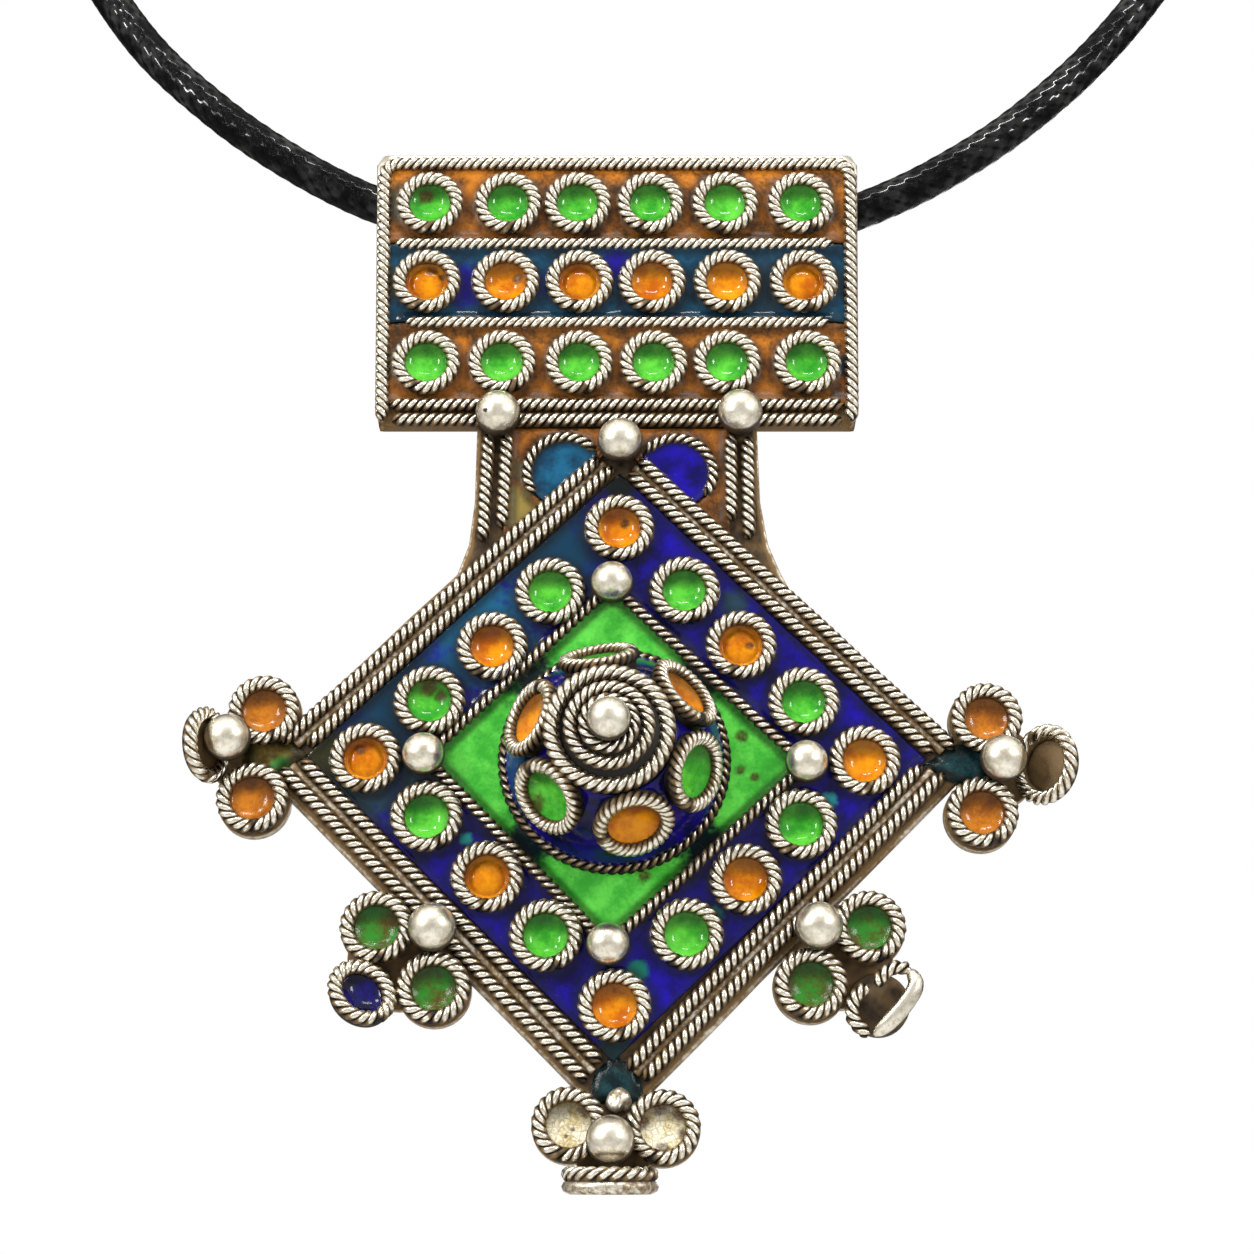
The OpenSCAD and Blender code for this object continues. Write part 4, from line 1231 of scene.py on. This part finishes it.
# Rows of the bail: how far across their fields reach, their drops that stand up as beads, and the
# enamel of the field and of the drops
ROW_SIDES = (-18.6, 18.55)
ROW_BEADS = {"middle": (0, 2, 5)}
ROW_LOOKS = {
    "top": (brown_field, green_drop), "middle": (blue_row, orange_drop), "bottom": (brown_field, green_drop),
}
for (row, (y, places)), low, high in zip(BAIL_ROWS.items(), ROW_LINES[1:], ROW_LINES):
    field_look, drop_look = ROW_LOOKS[row]
    grid = field_grid(*ROW_SIDES, low + 0.1, high - 0.1)
    field_piece(
        f"row_field_{row}", field_look, f"bail_field_{row}", [grid],
        rings=round_edges([(x, y) for x in places], RING_EDGE), wires=BAIL_WIRES, seed=30, reach_in=1.1,
    )
    drops_piece(
        f"row_drops_{row}", drop_look, f"bail_drops_{row}", [flat_move(x, y) for x in places], 60,
        beads=ROW_BEADS.get(row, ()),
    )

# The band drops that stand up as beads
BAND_BEADS = (2, 10, 12)
for i, (x, y, orange) in enumerate(BAND_PLACES):
    look = orange_drop if orange else green_drop
    beads = (0,) if i in BAND_BEADS else ()
    drops_piece(f"band_enamel_{i + 1}", look, f"band_drop_{i + 1}", [flat_move(x, y)], 80 + i, beads)

for i, ring in enumerate(BOSS_RINGS):
    look = orange_drop if ring[1] else green_drop
    drops_piece(
        f"boss_enamel_{i + 1}", look, f"boss_drop_{i + 1}", [boss_move(ring)], 100 + i,
        radius=BOSS_RING_R - 0.45, edge=0.55, floor=0.2, low=-0.3, top=90 - ring[0],
    )

CUP_LOOKS = {
    "left": cup_amber, "right": cup_amber, "lower_left": cup_green, "lower_right": cup_green,
    "bottom": cup_pale,
}
for i, (group, x, y) in enumerate(FLAT_CUPS):
    cup = f"{group}_{i % 2 + 1}"
    drops_piece(
        f"cup_enamel_{cup}", CUP_LOOKS[group], f"cup_drop_{cup}", [flat_move(x, y)], 120 + i,
        floor=0.4, edge=0.85,
    )
drops_piece(
    "cup_enamel_lower_left_3", cup_blue, "cup_drop_lower_left_3", [bent_move(BENT_CUPS["lower_left"])], 140,
    edge=0.75, floor=0.25,
)


def along_sides(corners, steps):
    """Places along the sides of an outline, steps to each side."""
    corners = np.array(corners, float)
    share = (np.arange(steps) / steps)[:, None]
    return np.concatenate([a + (b - a) * share for a, b in zip(corners, np.roll(corners, -1, 0))])


def between(inner, outer, steps):
    """Places between two lines of places, in steps from the inner to the outer."""
    t = np.linspace(0, 1, steps)[None, :, None]
    return inner[:, None] * (1 - t) + outer[:, None] * t


# Corners of the band's outer side
BAND_OUTER = [(0.2, -15.8), (23.4, -38.9), (-0.2, -61.6), (-23.4, -38.6)]
# Half the width of a green corner
CORNER_HALF = 7.05
# The neck's field: its sides from the middle, its top, its foot in the middle and how steeply that falls
NECK_SIDES = (0.6, 8.8)
NECK_TOP, NECK_FOOT, NECK_FALL = -12.0, -13.2, 0.975

small_ball_edges = round_edges(SMALL_BALLS, SMALL_BALL_EDGE)
field_piece(
    "band_enamel", band_blue, "band_field",
    [between(along_sides(SMALL_BALLS, 110), along_sides(BAND_OUTER, 110), 30)],
    rings=round_edges(BAND_PLACES, RING_EDGE) + small_ball_edges, wires=LOZENGE_WIRES + SQUARE_WIRES,
    seed=31, wrap_rows=True, reach_in=0.95,
)

for name, direction in {"top": 90, "right": 0, "bottom": -90, "left": 180}.items():
    width = np.linspace(-CORNER_HALF, CORNER_HALF, 66)[:, None]
    inside = np.maximum(np.sqrt((BOSS_R + 0.1) ** 2 - width**2), np.abs(width) + 0.01)
    outside = np.maximum(SQUARE_A - 0.1 - np.abs(width), inside + 0.04)
    outward = inside + (outside - inside) * np.linspace(0, 1, 28)
    c, s = math.cos(math.radians(direction)), math.sin(math.radians(direction))
    flat = np.stack([outward * c - width * s, outward * s + width * c], -1) + LOZ
    field_piece(
        f"corner_enamel_{name}", corner_green, f"corner_field_{name}", [flat],
        rings=small_ball_edges, wires=SQUARE_WIRES, seed=33, level=0.3, rise=0.26, reach_in=0.45,
    )

neck_halves = []
for side in (-1, 1):
    xs = side * np.linspace(*NECK_SIDES, 38)[:, None]
    foot = NECK_FOOT - np.abs(xs) * NECK_FALL
    ys = NECK_TOP + (foot - NECK_TOP) * np.linspace(0, 1, 34)
    neck_halves.append(np.stack([np.broadcast_to(xs, ys.shape), ys], -1))
field_piece(
    "neck_enamel", neck_brown, "neck_field", neck_halves, wires=NECK_WIRES, seed=34, level=0.24,
    rings=round_edges(LARGE_BALLS[:3], LARGE_BALL_EDGE) + round_edges(MOONS.values(), MOON_R + 0.3),
)


def fan_piece(name, look, node, flat, z, rim):
    """A piece of enamel whose rows run from its edge to its middle, with a wall down from the edge."""
    pile = Pile("rim")
    grid = np.concatenate([raised(flat[:1], ENAMEL_FOOT), raised(flat, z)])
    pile.add(grid, False, {"rim": rim})
    make_enamel(name, pile, look, node)


# For each half moon its enamel, and the lozenge's wire that cuts it off
for name, look, wire in (("left", moon_teal, LOZENGE_WIRES[0]), ("right", moon_blue, LOZENGE_WIRES[3])):
    middle = np.array(MOONS[name][:2])
    ray = rays(full_turn(64))
    run = unit(np.array(wire[2:]) - wire[:2])
    square = np.array([-run[1], run[0]])
    square *= -np.sign(square[1])
    to_wire = (wire[:2] - middle) @ square - 0.2
    room = ray @ square
    limit = np.where(room > 1e-3, to_wire / np.maximum(room, 1e-3), FAR)
    far = np.clip(np.minimum(limit, MOON_R - 0.1), 0.05, None)
    t = np.linspace(1, 0.02, 22)[:, None]
    flat = middle + (far * t)[..., None] * ray
    inset = (1 - t) * far
    z = 0.34 + 0.3 * np.exp(-inset / 0.3) + 0.03 * ripple(flat, 1.4, 36)
    # Painted shade darkens the enamel within 1.1 mm of its edge.
    rim = np.concatenate([np.ones((1, 64)), smooth_rise(-inset, -1.1, 0.0)])
    fan_piece(f"moon_enamel_{name}", look, f"neck_moon_{name}", flat, z, rim)

# The tips of the lozenge: enamel, and corners of the outline
TIPS = {
    "left": (tip_olive, [(-23.2, -38.45), (-25.4, -37.0), (-28.2, -36.8), (-28.4, -40.4), (-25.8, -40.2)]),
    "right": (tip_teal, [(23.2, -39.2), (25.4, -37.7), (28.4, -37.6), (28.4, -41.4), (25.8, -40.9)]),
    "bottom": (tip_teal, [(-0.15, -60.9), (1.5, -62.3), (2.0, -64.6), (-2.0, -64.6), (-1.6, -62.3)]),
}
for name, (look, outline) in TIPS.items():
    middle = np.mean(outline, 0)
    edge = along_sides(outline, 8)
    t = np.linspace(1, 0.03, 12)[:, None]
    flat = middle + (edge - middle) * t[..., None] * (1 + 0.12 * ripple(edge, 1.6, 38))[:, None]
    z = 0.3 + 0.2 * ripple(flat, 3.4, 37) - 0.24 * smooth_rise(t, 0.6, 1.0)
    # Painted shadow darkens the outer part of each tip.
    shade = np.concatenate([np.ones((1, len(edge))), smooth_rise(t, 0.3, 0.75) * np.ones(len(edge))])
    fan_piece(f"tip_enamel_{name}", look, f"tip_field_{name}", flat, z, 1.15 * shade)

boss_skin = Pile("rim")
flank = boss_profile(0)
flank = flank[(flank[:, 1] > BOSS_SKIN[0]) & (flank[:, 1] < BOSS_SKIN[1])]
wet = 0.22 + 0.2 * np.exp(-(flank[:, 1] - BOSS_SKIN[0]) / 0.4)
outer = flank + np.stack([wet, np.zeros(len(flank))], -1)
inner = flank + (0.05, 0.0)
boss_skin.add(lathe(np.concatenate([outer, inner[::-1]]), 120) + (*BOSS, 0), True, {"rim": 0.15})
make_enamel("boss_enamel_skin", boss_skin, boss_blue, "boss_field")


# The studio, in metres. The floor: half its width, its height and its colour
FLOOR_HALF, FLOOR_Z = 5.0, -0.46
FLOOR_COLOUR = (0.86, 0.86, 0.86, 1)
# The room's light: its colour, and its brightness in the ring round the face, in the middle of the
# ring as a share of that, and behind
ROOM_COLOUR = (1.0, 0.985, 0.955, 1)
AHEAD = 1.02
HOLE = 0.62
BEHIND = 0.08
# Where a flat face mirrors the camera to, and between which cosines to that way the light fades
# from the ring to its middle, and from behind to the ring
MIRROR_WAY = (0.0, -0.98, 0.19)
HOLE_FADE = (0.97, 0.75)
BACK_FADE = (-0.3, 0.25)
# Softboxes, turned to the heart of the necklace: place, width, height, power
HEART = (0.0, 0.0, -0.165)
SOFTBOXES = {
    "left_box": ((-0.30, -0.28, -0.10), 0.032, 0.11, 0.6),
    "right_box": ((0.30, -0.28, -0.08), 0.032, 0.11, 0.5),
    "top_box": ((0.02, -0.30, 0.16), 0.2, 0.014, 0.65),
    "corner_box": ((-0.24, -0.30, 0.09), 0.05, 0.05, 0.45),
    "back_box": ((0.16, 0.50, 0.05), 0.3, 0.3, 0.7),
}


def make_floor():
    mesh = bpy.data.meshes.new("floor")
    corners = [(x * FLOOR_HALF, y * FLOOR_HALF, FLOOR_Z) for x, y in ((-1, -1), (1, -1), (1, 1), (-1, 1))]
    mesh.from_pydata(corners, [], [(0, 1, 2, 3)])
    floor = new_object("floor", mesh)
    finish = Finish("pale_floor")
    finish.set(Base_Color=FLOOR_COLOUR, Roughness=0.7)
    mesh.materials.append(finish.material)


def make_world():
    """A room that is pure white where the camera sees it. What the pieces mirror is a bright ring: dim
    straight ahead of the face, bright round about, and dim again behind."""
    world = bpy.data.worlds.new("room")
    bpy.context.scene.world = world
    world.use_nodes = True
    room = Nodes(world.node_tree)
    ways = {0: room.node("ShaderNodeTexCoord"), 1: MIRROR_WAY}
    ahead = room.node("ShaderNodeVectorMath", {"operation": "DOT_PRODUCT"}, ways, output=1)
    ring = HOLE + ahead.step(*HOLE_FADE) * (1 - HOLE)
    power = BEHIND + ahead.step(*BACK_FADE) * ring * (AHEAD - BEHIND)
    lit = room.node("ShaderNodeBackground", inputs={0: ROOM_COLOUR, 1: power})
    seen = room.node("ShaderNodeBackground", inputs={0: (1, 1, 1, 1)})
    camera_ray = room.node("ShaderNodeLightPath")
    mix = room.node("ShaderNodeMixShader", inputs={0: camera_ray, 1: lit, 2: seen})
    end = room.tree.nodes.new("ShaderNodeOutputWorld")
    room.put(end.inputs[0], mix)


def make_softbox(name, place, width, height, power):
    data = bpy.data.lights.new(name, "AREA")
    data.shape = "RECTANGLE"
    data.size, data.size_y, data.energy = width, height, power
    stand(new_object(name, data), place, HEART)


make_floor()
make_world()
for name, box in SOFTBOXES.items():
    make_softbox(name, *box)
bpy.context.scene.view_settings.view_transform = "Standard"
